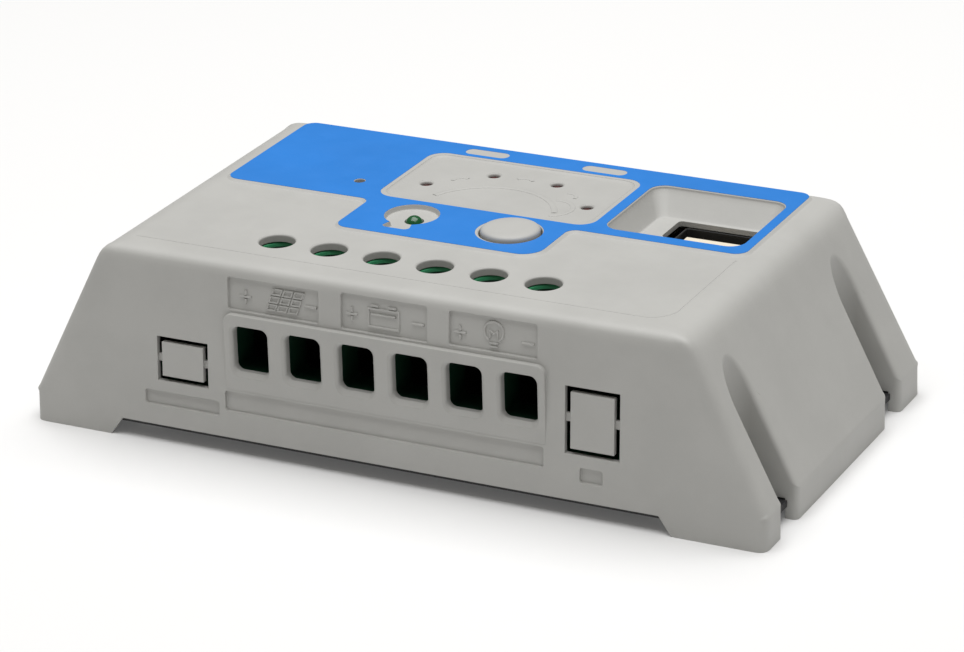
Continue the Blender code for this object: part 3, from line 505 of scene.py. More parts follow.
def round_cutter(name, x, y, radius, rim, face_z, bottom, sides=48):
    """Cutter for a round hole with a rounded rim in the upper face."""
    def ring(out, z):
        return at_height(circle(x, y, radius + out, sides), z)

    rims = flare(rim)
    sections = [ring(0.0, bottom)]
    sections += [ring(out, face_z - deep) for out, deep in reversed(rims)]
    sections.append(ring(rims[0][0], face_z + 3.0))
    return loft(name, sections)


def pole_xs(centre):
    return [centre + (i - (POLES - 1) / 2) * PITCH for i in range(POLES)]


def front_y(z):
    return -DEPTH / 2 + FRONT_LEAN * z


def back_y(z):
    return DEPTH / 2 - BACK_LEAN * z


def side_x(z):
    return WIDTH / 2 - SIDE_LEAN * max(z - SKIRT_H, 0.0)


def on_front(x, z, height):
    """Point that stands out from the floor of a field in the front face."""
    return (x, front_y(z) + FIELD_DEPTH - height, z)


def on_panel(x, y, height):
    return (x, y, PLATEAU_Z - PANEL_DEPTH + height)


def on_top(x, y, height):
    return (x, y, TOP_Z + height)


def ridge(name, points, width, height, place, closed=False, root=0.15):
    """Low rounded rib along a line of (a, b) points on the surface that place describes."""
    profile = [(-0.5, -root), (-0.46, 0.35 * height), (-0.3, 0.85 * height), (0.0, height),
               (0.3, 0.85 * height), (0.46, 0.35 * height), (0.5, -root)]
    count = len(points)
    sections = []
    for i, (a, b) in enumerate(points):
        before = points[(i - 1) % count] if closed or i else points[i]
        after = points[(i + 1) % count] if closed or i < count - 1 else points[i]
        one = Vector((a - before[0], b - before[1]))
        two = Vector((after[0] - a, after[1] - b))
        one = one.normalized() if one.length else two.normalized()
        two = two.normalized() if two.length else one
        along = (one + two).normalized()
        stretch = 1.0 / max(0.5, along.dot(one))
        side = Vector((-along.y, along.x)) * width * stretch
        sections.append([place(a + side.x * t, b + side.y * t, h) for t, h in profile])
    bm = bmesh.new()
    rings = [[bm.verts.new(Vector(p) * MM) for p in section] for section in sections]
    pairs = list(zip(rings, rings[1:]))
    if closed:
        pairs.append((rings[-1], rings[0]))
    size = len(profile)
    for lower, upper in pairs:
        for i in range(size):
            j = (i + 1) % size
            bm.faces.new((lower[i], lower[j], upper[j], upper[i]))
    if not closed:
        bm.faces.new(reversed(rings[0]))
        bm.faces.new(rings[-1])
    return object_from(name, bm)


# Materials

class Nodes:
    """Short way to add and join the nodes of one material."""

    def __init__(self, name):
        self.material = bpy.data.materials.new(name)
        self.material.use_nodes = True
        self.tree = self.material.node_tree
        self.shader = self.tree.nodes["Principled BSDF"]
        self.place = self.add("TexCoord", {}).outputs["Object"]

    def fill(self, node, inputs):
        """Give inputs their values, or links where they are given another node's output."""
        for key, value in inputs.items():
            if hasattr(value, "is_linked"):
                self.tree.links.new(value, node.inputs[key])
            else:
                node.inputs[key].default_value = value
        return node

    def add(self, kind, inputs, **settings):
        node = self.tree.nodes.new("ShaderNode" + kind)
        for key, value in settings.items():
            setattr(node, key, value)
        return self.fill(node, inputs)

    def finish(self, inputs):
        """Fill the surface shader's inputs and hand over the material."""
        self.fill(self.shader, inputs)
        return self.material

    def noise(self, scale, detail=3.0, roughness=0.55, stretch=None):
        place = self.place
        if stretch:
            place = self.add("Mapping", {"Scale": stretch, "Vector": place}).outputs["Vector"]
        inputs = {"Scale": scale, "Detail": detail, "Roughness": roughness, "Vector": place}
        return self.add("TexNoise", inputs).outputs["Fac"]

    def remap(self, value, low, high, to_low, to_high, stepped="LINEAR"):
        inputs = {"From Min": low, "From Max": high, "To Min": to_low, "To Max": to_high,
                  "Value": value}
        return self.add("MapRange", inputs, interpolation_type=stepped).outputs["Result"]

    def mix(self, factor, first, second):
        """Blend two colours, each a plain colour or another node's output."""
        ends = [end if hasattr(end, "is_linked") else (*end, 1.0) for end in (first, second)]
        inputs = {"Factor": factor, 6: ends[0], 7: ends[1]}
        return self.add("Mix", inputs, data_type="RGBA").outputs[2]

    def maths(self, operation, first, second):
        return self.add("Math", {0: first, 1: second}, operation=operation).outputs["Value"]

    def bump(self, height, distance, normal=None):
        inputs = {"Distance": distance, "Strength": 1.0, "Height": height}
        if normal:
            inputs["Normal"] = normal
        return self.add("Bump", inputs).outputs["Normal"]

    def rounded(self, radius, samples=6):
        return self.add("Bevel", {"Radius": radius}, samples=samples).outputs["Normal"]

    def edges(self, radius):
        """1 on sharp edges, 0 on flat faces."""
        flat = self.add("NewGeometry", {}).outputs["Normal"]
        product = self.add("VectorMath", {0: self.rounded(radius, 4), 1: flat},
                           operation="DOT_PRODUCT").outputs["Value"]
        return self.remap(product, 0.97, 0.80, 0.0, 1.0)


def scaled(colour, factor, lift=0.0):
    """A lighter or darker colour."""
    return tuple(min(1.0, c * factor + lift) for c in colour)


def moulded(name, colour, roughness=0.5, grain=0.000006, grain_scale=3800.0, spread=0.05,
            specular=0.4):
    """Moulded plastic: mould texture, faint flow and handling marks, edges worn lighter."""
    n = Nodes(name)
    dark = scaled(colour, 1 - spread)
    light = scaled(colour, 1 + spread)
    cloud = n.noise(70.0, 4.0, 0.6)
    base = n.mix(n.remap(cloud, 0.35, 0.65, 0.0, 1.0, "SMOOTHSTEP"), dark, light)
    fine = n.noise(grain_scale, 2.0, 0.6)
    speck = n.mix(n.remap(fine, 0.3, 0.7, 0.35, 0.65), dark, light)
    coloured = n.mix(n.remap(cloud, 0.0, 1.0, 0.45, 0.55), base, speck)
    worn = n.maths("MULTIPLY", n.edges(0.00025), 0.06)
    smudge = n.noise(160.0, 5.0, 0.7)
    scuff = n.noise(900.0, 3.0, 0.5, stretch=(0.25, 1.0, 1.0))
    rough = n.maths("ADD", n.remap(smudge, 0.3, 0.7, roughness - 0.06, roughness + 0.06),
                    n.remap(scuff, 0.62, 0.75, 0.0, -0.05))
    sink = n.bump(n.noise(45.0, 2.0, 0.5), 0.00006, n.rounded(0.00012))
    return n.finish({"Base Color": n.mix(worn, coloured, scaled(colour, 1.35, 0.05)),
                     "Roughness": rough, "Normal": n.bump(fine, grain, sink),
                     "Specular IOR Level": specular})


def printed(name, colour, roughness=0.42):
    """Printed foil with a fine orange-peel surface."""
    n = Nodes(name)
    cloud = n.remap(n.noise(55.0, 3.0, 0.5), 0.3, 0.7, 0.0, 1.0)
    smudge = n.noise(180.0, 4.0, 0.6)
    peel = n.noise(2200.0, 2.0, 0.5)
    return n.finish({"Base Color": n.mix(cloud, scaled(colour, 0.95), scaled(colour, 1.05)),
                     "Roughness": n.remap(smudge, 0.3, 0.7, roughness - 0.05, roughness + 0.07),
                     "Normal": n.bump(peel, 0.000004)})


def metal(name, colour, roughness=0.3, grain=0.000004, metallic=1.0):
    """Plated or painted metal with a fine, slightly uneven surface."""
    n = Nodes(name)
    cloud = n.remap(n.noise(260.0, 4.0, 0.6), 0.3, 0.7, 0.0, 1.0)
    base = n.mix(cloud, scaled(colour, 0.86), scaled(colour, 1.08))
    worn = n.maths("MULTIPLY", n.edges(0.0002), 0.35)
    fine = n.noise(2600.0, 3.0, 0.6)
    return n.finish({"Base Color": n.mix(worn, base, scaled(colour, 1.3, 0.06)),
                     "Roughness": n.remap(fine, 0.3, 0.7, roughness - 0.08, roughness + 0.1),
                     "Normal": n.bump(fine, grain, n.rounded(0.0001)), "Metallic": metallic})


def lens(name, colour, roughness, coat):
    """Dyed clear plastic with faint flow lines."""
    n = Nodes(name)
    cloud = n.noise(900.0, 3.0, 0.5)
    flow = n.remap(cloud, 0.3, 0.7, 0.0, 1.0)
    uneven = n.noise(1800.0, 2.0, 0.5)
    return n.finish({"Base Color": n.mix(flow, scaled(colour, 0.8), colour),
                     "Roughness": n.remap(uneven, 0.3, 0.7, roughness - 0.04, roughness + 0.06),
                     "Normal": n.bump(cloud, 0.000006),
                     "Coat Weight": coat, "Coat Roughness": 0.05})


def windings(name, colour):
    """Turns of enamelled wire, seen as fine rings."""
    n = Nodes(name)
    turns = n.add("TexWave", {"Scale": 700.0, "Distortion": 0.4, "Vector": n.place},
                  bands_direction="Z").outputs["Fac"]
    return n.finish({"Base Color": n.mix(turns, scaled(colour, 0.6), colour),
                     "Roughness": n.remap(n.noise(900.0), 0.3, 0.7, 0.28, 0.42),
                     "Normal": n.bump(turns, 0.00008), "Metallic": 1.0})


CASE_GREY = moulded("case_grey", (0.45, 0.448, 0.43))
LABEL_BLUE = printed("label_blue", (0.016, 0.200, 0.640))
# One terminal green in two copies: the block's is darkened to near black as painted shade inside
# the wire windows, and the collars get the lighter, lit copy of the same green
SHADED_TERMINAL_GREEN = moulded("terminal_green_painted_shade", (0.004, 0.026, 0.013), 0.55, grain_scale=3000.0,
                         specular=0.2)
LIT_COLLAR_GREEN = moulded("collar_green_lit", (0.040, 0.32, 0.14), 0.42, grain_scale=3000.0)
BOARD_GREEN = moulded("board_green", (0.010, 0.12, 0.05), 0.4, spread=0.15, grain_scale=2400.0)
BLACK_PLASTIC = moulded("black_plastic", (0.018, 0.018, 0.018), 0.5)
CREAM_PLASTIC = moulded("cream_plastic", (0.80, 0.72, 0.58), 0.45)
GREY_PAD = moulded("grey_pad", (0.35, 0.36, 0.38), 0.75, grain=0.00002, grain_scale=1500.0)
SLEEVE = moulded("capacitor_sleeve", (0.03, 0.04, 0.10), 0.35)
BLACK_STEEL = metal("black_powder_coat", (0.014, 0.014, 0.016), 0.5, grain=0.00001, metallic=0.0)
PLATED_STEEL = metal("plated_steel", (0.50, 0.50, 0.48), 0.42)
# Plated steel of the clamp cages darkened to near black: painted shade inside the terminal block
SHADED_CAGE_STEEL = metal("cage_steel_painted_shade", (0.05, 0.05, 0.05), 0.5)
TINNED = metal("tinned_copper", (0.72, 0.68, 0.58), 0.34)
GOLD = metal("contact_gold", (0.85, 0.62, 0.25), 0.25)
RED_LENS = lens("red_lens", (0.07, 0.005, 0.004), 0.45, 0.05)
GREEN_LENS = lens("green_lens", (0.008, 0.10, 0.028), 0.2, 0.3)
CLEAR_LENS = lens("clear_lens", (0.012, 0.02, 0.05), 0.3, 0.2)
WINDING = windings("copper_winding", (0.62, 0.28, 0.10))

CAD_FINISH = {
    "black_part": BLACK_PLASTIC, "board": BOARD_GREEN, "thermal_pad": GREY_PAD,
    "tinned_contact": TINNED, "plated_steel": PLATED_STEEL, "base": BLACK_STEEL,
    "capacitor_sleeve": SLEEVE, "winding": WINDING,
}


# Nodes of the frame whose edges are softened
EDGED_NODES = ("base_plate", "clamp_cage", "contact_bar", "switch_body", "mosfet", "micro",
               "usb_reg", "pcb")


def finish_piece(obj, made_of, material_slot, body, *replaced):
    """Give a piece its material and tie it to its body of the frame."""
    obj.data.materials.clear()
    obj.data.materials.append(made_of)
    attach(obj, body)
    if replaced:
        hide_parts(*replaced)
    return obj


# Case

def tapered_block(name, z0, z1, inset, fold_z):
    """The case's outer form between two heights, moved inwards by inset."""
    bm = bmesh.new()
    bmesh.ops.create_cube(bm, size=1.0)
    bmesh.ops.scale(bm, vec=(1.0, 1.0, (z1 - z0) * MM), verts=bm.verts)
    bmesh.ops.translate(bm, vec=(0.0, 0.0, (z0 + z1) * MM / 2), verts=bm.verts)
    bmesh.ops.bisect_plane(
        bm, geom=bm.verts[:] + bm.edges[:] + bm.faces[:],
        plane_co=(0.0, 0.0, fold_z * MM), plane_no=(0.0, 0.0, 1.0))
    for vert in bm.verts:
        z = vert.co.z / MM
        half = side_x(z) - inset
        vert.co.x = math.copysign(half, vert.co.x) * MM
        edge = back_y(max(z, 0.0)) - inset if vert.co.y > 0 else front_y(max(z, 0.0)) + inset
        vert.co.y = edge * MM
    return object_from(name, bm)


def groove_outline(x_sign, y, radius, x_far, steps=24):
    half_round = arc(GROOVE_X, y, radius, 90, 270, steps)
    points = [(x_far, y + radius)] + half_round + [(x_far, y - radius)]
    return [(x_sign * px, py) for px, py in points]


def each_groove():
    for x_sign in (-1, 1):
        for y in GROOVE_YS:
            yield x_sign, y


def edge_radius(edge):
    """Rounding of an edge of the plain case form, from where it lies."""
    if len(edge.link_faces) != 2 or edge.calc_face_angle(0.0) < math.radians(LEAST_TURN):
        return 0.0
    a, b = (v.co / MM for v in edge.verts)
    mid = (a + b) / 2
    along = (b - a).normalized()
    if min(a.z, b.z) > TOP_Z - AT_HEIGHT:
        if abs(along.y) > 0.9:
            return TOP_SIDE_R
        return TOP_FRONT_R if mid.y < 0 else TOP_BACK_R
    if max(a.z, b.z) < AT_HEIGHT:
        return 0.0
    if min(abs(mid.y - front_y(mid.z)), abs(mid.y - back_y(mid.z))) < ON_FACE:
        return CORNER_R if abs(along.z) > 0.5 else 0.0
    if abs(abs(mid.x) - side_x(mid.z)) < ON_SIDE:
        if abs(along.y) > 0.99 and abs(mid.z - SKIRT_H) < AT_FOLD:
            return FOLD_R
        return GROOVE_RIM_R * math.tan(edge.calc_face_angle() / 2)
    return 0.0


def round_edges(obj, radius_of, segments):
    """Bevel each edge by the radius that radius_of gives it."""
    bm = bmesh.new()
    bm.from_mesh(obj.data)
    bmesh.ops.dissolve_limit(bm, angle_limit=math.radians(0.5), verts=bm.verts, edges=bm.edges)
    weights = bm.edges.layers.float.new("bevel_weight_edge")
    for edge in bm.edges:
        edge[weights] = radius_of(edge) / TOP_SIDE_R
    bm.to_mesh(obj.data)
    bm.free()
    rounding = obj.modifiers.new("rounding", "BEVEL")
    rounding.width = TOP_SIDE_R * MM
    rounding.limit_method = "WEIGHT"
    rounding.segments = segments
    rounding.profile = ROUNDING_PROFILE
    rounding.use_clamp_overlap = False
    return settled(obj)


def label_outline(grow, steps=8):
    """Outline of the blue label's field, a wide part with a tab towards the front."""
    x0, x1 = LABEL_X0 - grow, LABEL_X1 + grow
    left_y0, right_y0, y1 = LABEL_Y0_LEFT - grow, LABEL_Y0_RIGHT - grow, LABEL_Y1
    tx0, tx1, ty = TAB_X0 - grow, TAB_X1 + grow, TAB_Y - grow
    outer = LABEL_R + grow
    inner = LABEL_INNER_R - grow
    back = LABEL_BACK_R
    points = arc(x1 - outer, right_y0 + outer, outer, -90, 0, steps)
    points += arc(x1 - back, y1 - back, back, 0, 90, steps)
    points += arc(x0 + back, y1 - back, back, 90, 180, steps)
    points += arc(x0 + outer, left_y0 + outer, outer, 180, 270, steps)
    points += arc(tx0 - inner, left_y0 - inner, inner, 90, 0, steps)
    points += arc(tx0 + outer, ty + outer, outer, 180, 270, steps)
    wide = TAB_RIGHT_R + grow
    points += arc(tx1 - wide, ty + wide, wide, -90, 0, steps)
    points += arc(tx1 + inner, right_y0 - inner, inner, 180, 90, steps)
    return points


def bulb_outline(grow, steps=40):
    """Lamp-shaped field for the green LED: a round globe with a short base."""
    cx, cy = DISH
    radius = DISH_R + grow
    side = math.degrees(math.asin((DISH_NECK_HALF + grow) / radius))
    points = arc(cx, cy, radius, -90 + side, 270 - side, steps)
    half, corner = DISH_BASE_HALF, DISH_BASE_R
    base_y = cy - DISH_R - DISH_BASE_H - grow + corner
    points += arc(cx - half - grow + corner, base_y, corner, 180, 270, 5)
    points += arc(cx + half + grow - corner, base_y, corner, 270, 360, 5)
    return points


def led_places():
    cx, cy = LED_ARC
    return [arc(cx, cy, LED_ARC_R, angle, angle, 1)[0] for angle in LED_ANGLES]


def inner_edge_radius(edge):
    a, b = (v.co / MM for v in edge.verts)
    if min(a.z, b.z) < TOP_Z - TOP_WALL - AT_HEIGHT:
        return 0.0
    return TOP_SIDE_R - WALL if abs((b - a).normalized().y) > 0.9 else 0.0


def cavity():
    """The space inside the cover, with the groove walls and the USB tub left standing."""
    space = tapered_block("cavity", -PAST, TOP_Z - TOP_WALL, WALL + CAVITY_GAP, SKIRT_H)
    round_edges(space, inner_edge_radius, 4)
    outlines = [groove_outline(s, y, GROOVE_R + GROOVE_WALL, WIDTH, 16) for s, y in each_groove()]
    walls = [outline_solid("groove_wall", [outline], PLATE_TOP + PLATE_GAP, TOP_Z)
             for outline in outlines]
    x0, x1, y0, y1 = POCKET
    tub_z = PLATEAU_Z - POCKET_DEPTH - POCKET_FLOOR_T
    walls.append(box("usb_tub", x0 - TUB_WALL, x1 + TUB_WALL, y0 - TUB_WALL, y1 + TUB_WALL,
                     tub_z, TOP_Z))
    return cut(space, *walls)


def plateau():
    """The label's raised field, whose edge runs out in a soft slope."""
    return loft("plateau", [at_height(label_outline(grow), TOP_Z + rise)
                            for grow, rise in PLATEAU_EDGE])


def band():
    """Raised band around the wire windows, with rounded upper corners and edges."""
    x0, x1, z0, z1 = BAND

    def ring(inset):
        r = BAND_CORNER_R - inset * 0.5
        left, right, top = x0 + inset, x1 - inset, z1 - inset
        points = [(left, z0), (right, z0)]
        points += arc(right - r, top - r, r, 0, 90, 8)
        points += arc(left + r, top - r, r, 90, 180, 8)
        return points

    edge = BAND_EDGE_R
    sections = [at_depth(ring(0.0), BAND_Y + BAND_ROOT), at_depth(ring(0.0), BAND_Y + edge)]
    for i in range(1, 6):
        angle = math.radians(90 * i / 5)
        inset, deep = edge * (1 - math.cos(angle)), edge * (1 - math.sin(angle))
        sections.append(at_depth(ring(inset), BAND_Y + deep))
    return loft("band", sections)


def window_cutter(x):
    half = WINDOW_W / 2

    def ring(out, sill=0.0):
        return rounded_rect(x - half - out, x + half + out, WINDOW_Z0 - sill, WINDOW_Z1 + out,
                            WINDOW_R + out)

    rims = flare(WINDOW_RIM)
    sections = [at_depth(ring(rims[0][0], WINDOW_SILL), BAND_Y - PAST)]
    sections += [at_depth(ring(out, WINDOW_SILL * (1 - deep / WINDOW_RIM)), BAND_Y + deep)
                 for out, deep in rims]
    sections.append(at_depth(ring(0.0), SCREW_Y))
    return loft("window", sections)


def front_slab(name, x0, x1, z0, z1, near, far):
    """A slab parallel to the leaning front face, between two depths behind it."""
    ring = rounded_rect(x0, x1, z0, z1, FIELD_R, 4)
    return loft(name, [[(x, front_y(z) + depth, z) for x, z in ring] for depth in (near, far)])


def knockout_cutters(x0, x1, z0, z1, margin, tab_z0, tab_z1):
    """The gap around a knock-out plug in two halves, and what thins its tabs."""
    px0, px1, pz0, pz1 = x0 + margin, x1 - margin, z0 + margin, z1 - margin
    upper = [(x0, tab_z1), (px0, tab_z1), (px0, pz1), (px1, pz1), (px1, tab_z1), (x1, tab_z1),
             (x1, z1), (x0, z1)]
    lower = [(x0, z0), (x1, z0), (x1, tab_z0), (px1, tab_z0), (px1, pz0), (px0, pz0),
             (px0, tab_z0), (x0, tab_z0)]
    y0, y1 = -DEPTH / 2 - PAST, -DEPTH / 2 + KNOCKOUT_REACH
    cutters = [outline_solid("knockout_gap", [half], y0, y1, plane="XZ") for half in (upper, lower)]
    low, high = tab_z0 - KNOCKOUT_TAB_MARGIN, tab_z1 + KNOCKOUT_TAB_MARGIN
    recesses = [front_slab("tab_recess", left, right, low, high, -PAST, KNOCKOUT_TAB_DEPTH)
                for left, right in ((x0, px0), (px1, x1))]
    return cutters, recesses


def sunk_field(x0, x1, z0, z1, depth):
    """A shallow field parallel to the leaning front face."""
    rim = FIELD_RIM
    ring = rounded_rect(x0, x1, z0, z1, FIELD_R, 4)
    wide = rounded_rect(x0 - rim, x1 + rim, z0 - rim, z1 + rim, FIELD_RIM_R, 4)
    levels = ((wide, -PAST), (wide, 0.0), (ring, depth))
    return loft("sunk_field", [[(x, front_y(z) + deep, z) for x, z in points]
                               for points, deep in levels])


def pocket_ring(t):
    """Outline of the USB pocket, from the floor at t=0 to the opening at t=1."""
    values = [f + (o - f) * t for o, f in zip(POCKET, POCKET_FLOOR)]
    return rounded_rect(*values, POCKET_FLOOR_R + POCKET_R_GROWTH * t)


def pocket_cutter():
    floor_z = PLATEAU_Z - POCKET_DEPTH
    wall_height = POCKET_DEPTH - POCKET_BELOW_RIM

    def rim(out, z):
        ring = [v + s * out for v, s in zip(POCKET, (-1, 1, -1, 1))]
        return at_height(rounded_rect(*ring, POCKET_R + out), z)

    sections = []
    for t in POCKET_STEPS:
        rise = (t + math.hypot(t, POCKET_FOLD)) / 2
        sections.append(at_height(pocket_ring(t), floor_z + wall_height * rise))
    rims = flare(POCKET_RIM, POCKET_RIM_STEPS)
    sections += [rim(out, PLATEAU_Z - deep) for out, deep in reversed(rims)]
    sections.append(rim(rims[0][0], PLATEAU_Z + PAST))
    return loft("usb_pocket", sections)


def panel_cutter():
    """Soft-edged recess inside the grey LED field."""
    x0, x1, y0, y1 = PANEL
    sections = []
    for inset, deep in PANEL_EDGE:
        corner = PANEL_R - inset * 0.6
        ring = rounded_rect(x0 + inset, x1 - inset, y0 + inset, y1 - inset, corner)
        sections.append(at_height(ring, PLATEAU_Z - PANEL_DEPTH * deep))
    return loft("panel_recess", sections)


def dish_cutter():
    floor_z = PLATEAU_Z - DISH_DEPTH
    edge = ((-0.45, floor_z), (-0.2, floor_z + 0.07), (-0.07, floor_z + 0.25),
            (0.0, PLATEAU_Z - 0.15), (0.08, PLATEAU_Z), (0.08, PLATEAU_Z + PAST))
    return loft("lamp_dish", [at_height(bulb_outline(grow), z) for grow, z in edge])


def crease_line():
    """Where the flat part of the upper face ends in front and on the right."""
    return [CREASE_BACK, *arc(*CREASE_CORNER, 0, -90, 10), CREASE_LEFT]


def cut_driver_holes(form):
    """Round holes over the terminal screws, and the room under them for the block's collars."""
    cut(form, merged("driver_holes", [
        round_cutter("driver_hole", x, SCREW_Y, DRIVER_HOLE_R, DRIVER_RIM, TOP_Z, UNDER_TOP)
        for x in pole_xs(HOLE_X)]))
    reach = COLLAR_R + COLLAR_ROOM
    first, *_, last = pole_xs(POLE_X)
    trough = rounded_rect(first - reach, last + reach, SCREW_Y - reach, SCREW_Y + reach,
                          reach * ROUND_END, 16)
    cut(form, outline_solid("collar_trough", [trough], UNDER_TOP, TOP_Z - DRIVER_HOLE_WALL))


def cut_lamp_holes(form):
    """Holes, seats and dish of the lamps."""
    floor_z = PLATEAU_Z - PANEL_DEPTH
    holes = [round_cutter("led_hole", x, y, LED_HOLE_R, LED_HOLE_RIM, floor_z, UNDER_TOP,
                          SMALL_SIDES) for x, y in led_places()]
    holes.append(round_cutter("solar_hole", *SOLAR_LED, SOLAR_HOLE_R, SOLAR_HOLE_RIM, PLATEAU_Z,
                              UNDER_TOP, SMALL_SIDES))
    cut(form, merged("led_holes", holes))
    seats = [cylinder("led_seat", x, y, UNDER_TOP, LED_SEAT_Z, LED_SEAT_R, SMALL_SIDES)
             for x, y in led_places()]
    seats.append(cylinder("solar_seat", *SOLAR_LED, UNDER_TOP, SOLAR_SEAT_Z, LED_SEAT_R,
                          SMALL_SIDES))
    cut(form, merged("led_seats", seats))
    cut(form, dish_cutter())
    cut(form, cylinder("green_hole", *GREEN_LED, UNDER_TOP, TOP_Z + 3.0, GREEN_HOLE_R))


def cover():
    """The case's cover in one piece, down to its small rims and fillets."""
    form = tapered_block("cover", 0.0, TOP_Z, 0.0, SKIRT_H)
    cut(form, *[outline_solid("groove", [groove_outline(s, y, GROOVE_R, WIDTH)], -5.0, TOP_Z + 5.0)
                for s, y in each_groove()])
    round_edges(form, edge_radius, ROUNDING_STEPS)
    unite(form, plateau(), band())
    half_x, half_y = PLATE_HALF_X + PLATE_GAP, PLATE_HALF_Y + PLATE_GAP
    recess = box("plate_recess", -half_x, half_x, -half_y, half_y, -3.0, PLATE_TOP + PLATE_GAP)
    low, high = NOTCH_HALF_LOW, NOTCH_HALF_HIGH
    half = [(low + NOTCH_FLARE, -1.0), (low, 0.0), (high, NOTCH_Z)]
    outline = [(NOTCH_X + x, z) for x, z in half] + [(NOTCH_X - x, z) for x, z in reversed(half)]
    notch = outline_solid("foot_notch", [outline], -DEPTH, DEPTH, plane="XZ")
    x0, x1, z0, z1 = BAND
    mouth = box("mouth_pocket", x0 - MOUTH_LEFT, x1 + MOUTH_RIGHT, BAND_Y + MOUTH_BEHIND, SCREW_Y,
                MOUTH_FLOOR, z1 - MOUTH_BELOW_TOP)
    cut(form, cavity(), recess, notch, mouth)
    cut(form, merged("windows", [window_cutter(x) for x in pole_xs(WINDOW_X)]))
    cut_driver_holes(form)
    cut(form, ridge("crease", crease_line(), 0.3, -0.06, on_top, root=-0.5))
    for x0, x1, z0, z1, *rest in KNOCKOUTS:
        gaps, recesses = knockout_cutters(x0, x1, z0, z1, *rest)
        more = KNOCKOUT_WALL_MARGIN
        thin = front_slab("thin_wall", x0 - more, x1 + more, z0 - more, z1 + more,
                          KNOCKOUT_WALL, WALL + 1.0)
        cut(form, merged("knockout_gaps", gaps), merged("tab_recesses", recesses), thin)
    fields = [sunk_field(*field, FIELD_DEPTH) for field in ICON_FIELDS + STRIP_FIELDS]
    cut(form, merged("fields", fields))
    cut(form, panel_cutter())
    cut_lamp_holes(form)
    cut(form, round_cutter("button_hole", *BUTTON, BUTTON_HOLE_R, BUTTON_HOLE_RIM, PLATEAU_Z,
                           UNDER_TOP, 64))
    cut(form, pocket_cutter())
    outlet = rounded_rect(*USB_CUTOUT, USB_CUTOUT_R)
    cut(form, outline_solid("usb_cutout", [outlet], USB_CUTOUT_Z0, TOP_Z))
    form.name = "cover"
    return smooth(form)


def front_symbols():
    """Raised signs in the fields over the windows: polarity, solar panel, battery and lamp."""
    wide, tall = 0.45, 0.3
    lines = []
    for x, z in PLUS_SIGNS:
        lines.append([(x - 1.0, z), (x + 1.0, z)])
        lines.append([(x, z + 0.32), (x, z + 1.1)])
        lines.append([(x, z - 0.32), (x, z - 1.1)])
    for x, z in MINUS_SIGNS:
        lines.append([(x - 1.05, z), (x + 1.05, z)])
    ribs = [ridge("sign", line, wide, tall, on_front) for line in lines]
    slant = 1.45
    for row in range(3):
        for column in range(3):
            x, z = -21.15 + column * 1.95 + row * slant / 3, 25.85 + row * 1.33
            cell = [(x, z), (x + 1.5, z), (x + 1.5 + slant * 0.24, z + 0.95),
                    (x + slant * 0.24, z + 0.95)]
            ribs.append(ridge("cell", cell, 0.3, tall, on_front, closed=True))
    battery = [(-2.9, 25.9), (2.4, 25.9), (2.4, 28.9), (-2.9, 28.9)]
    ribs.append(ridge("battery", battery, 0.4, tall, on_front, closed=True))
    ribs.append(ridge("battery_line", [(-2.4, 28.0), (1.9, 28.0)], 0.35, tall, on_front))
    for x in (-1.75, 1.35):
        cap = [(x - 0.65, 29.4), (x + 0.65, 29.4)]
        ribs.append(ridge("battery_cap", cap, wide, tall, on_front))
    globe = arc(18.95, 28.35, 1.65, -60, 240, 24)
    ribs.append(ridge("globe", globe, 0.4, tall, on_front))
    filament = [(18.3, 27.3), (18.3, 28.5), (18.95, 28.0), (19.6, 28.5), (19.6, 27.3)]
    ribs.append(ridge("filament", filament, 0.3, tall, on_front))
    for z in (26.5, 25.95):
        ribs.append(ridge("lamp_base", [(18.25, z), (19.65, z)], 0.32, tall, on_front))
    return smooth(merged("front_symbols", ribs), 50.0)


def panel_symbols():
    """Faint raised arcs between the LEDs, from empty on the left to full on the right."""
    cx, cy = LED_ARC
    ribs = [ridge("scale", arc(cx, cy, 11.6, 160, 20, 32), 1.1, 0.12, on_panel),
            ridge("inner", arc(cx + 9.4, cy + 6.0, 3.6, 100, -70, 20), 0.9, 0.10, on_panel)]
    for angle in (130, 90, 50):
        x, y = arc(cx, cy, 15.0, angle, angle, 1)[0]
        ribs.append(ridge("mark", arc(x, y, 1.6, angle + 60, angle - 60, 10), 0.7, 0.10, on_panel))
    return smooth(merged("panel_symbols", ribs), 50.0)


def label():
    x0, x1, y0, y1 = POCKET
    gap = LABEL_POCKET_GAP
    loops = [label_outline(0.0), rounded_rect(*PANEL, PANEL_R),
             rounded_rect(x0 - gap, x1 + gap, y0 - gap, y1 + gap, LABEL_POCKET_R)]
    half_x, half_y = PILL_HALF
    for x, y in PILLS:
        loops.append(rounded_rect(x - half_x, x + half_x, y - half_y, y + half_y,
                                  half_y * ROUND_END))
    loops.append(bulb_outline(0.1))
    loops.append(circle(BUTTON[0] + LABEL_BUTTON_SHIFT, BUTTON[1], LABEL_BUTTON_R, 64))
    loops.append(circle(*SOLAR_LED, SOLAR_HOLE_R + 0.1, 24))
    return outline_solid("label", loops, PLATEAU_Z - 0.01, PLATEAU_Z + LABEL_T)


# Terminals

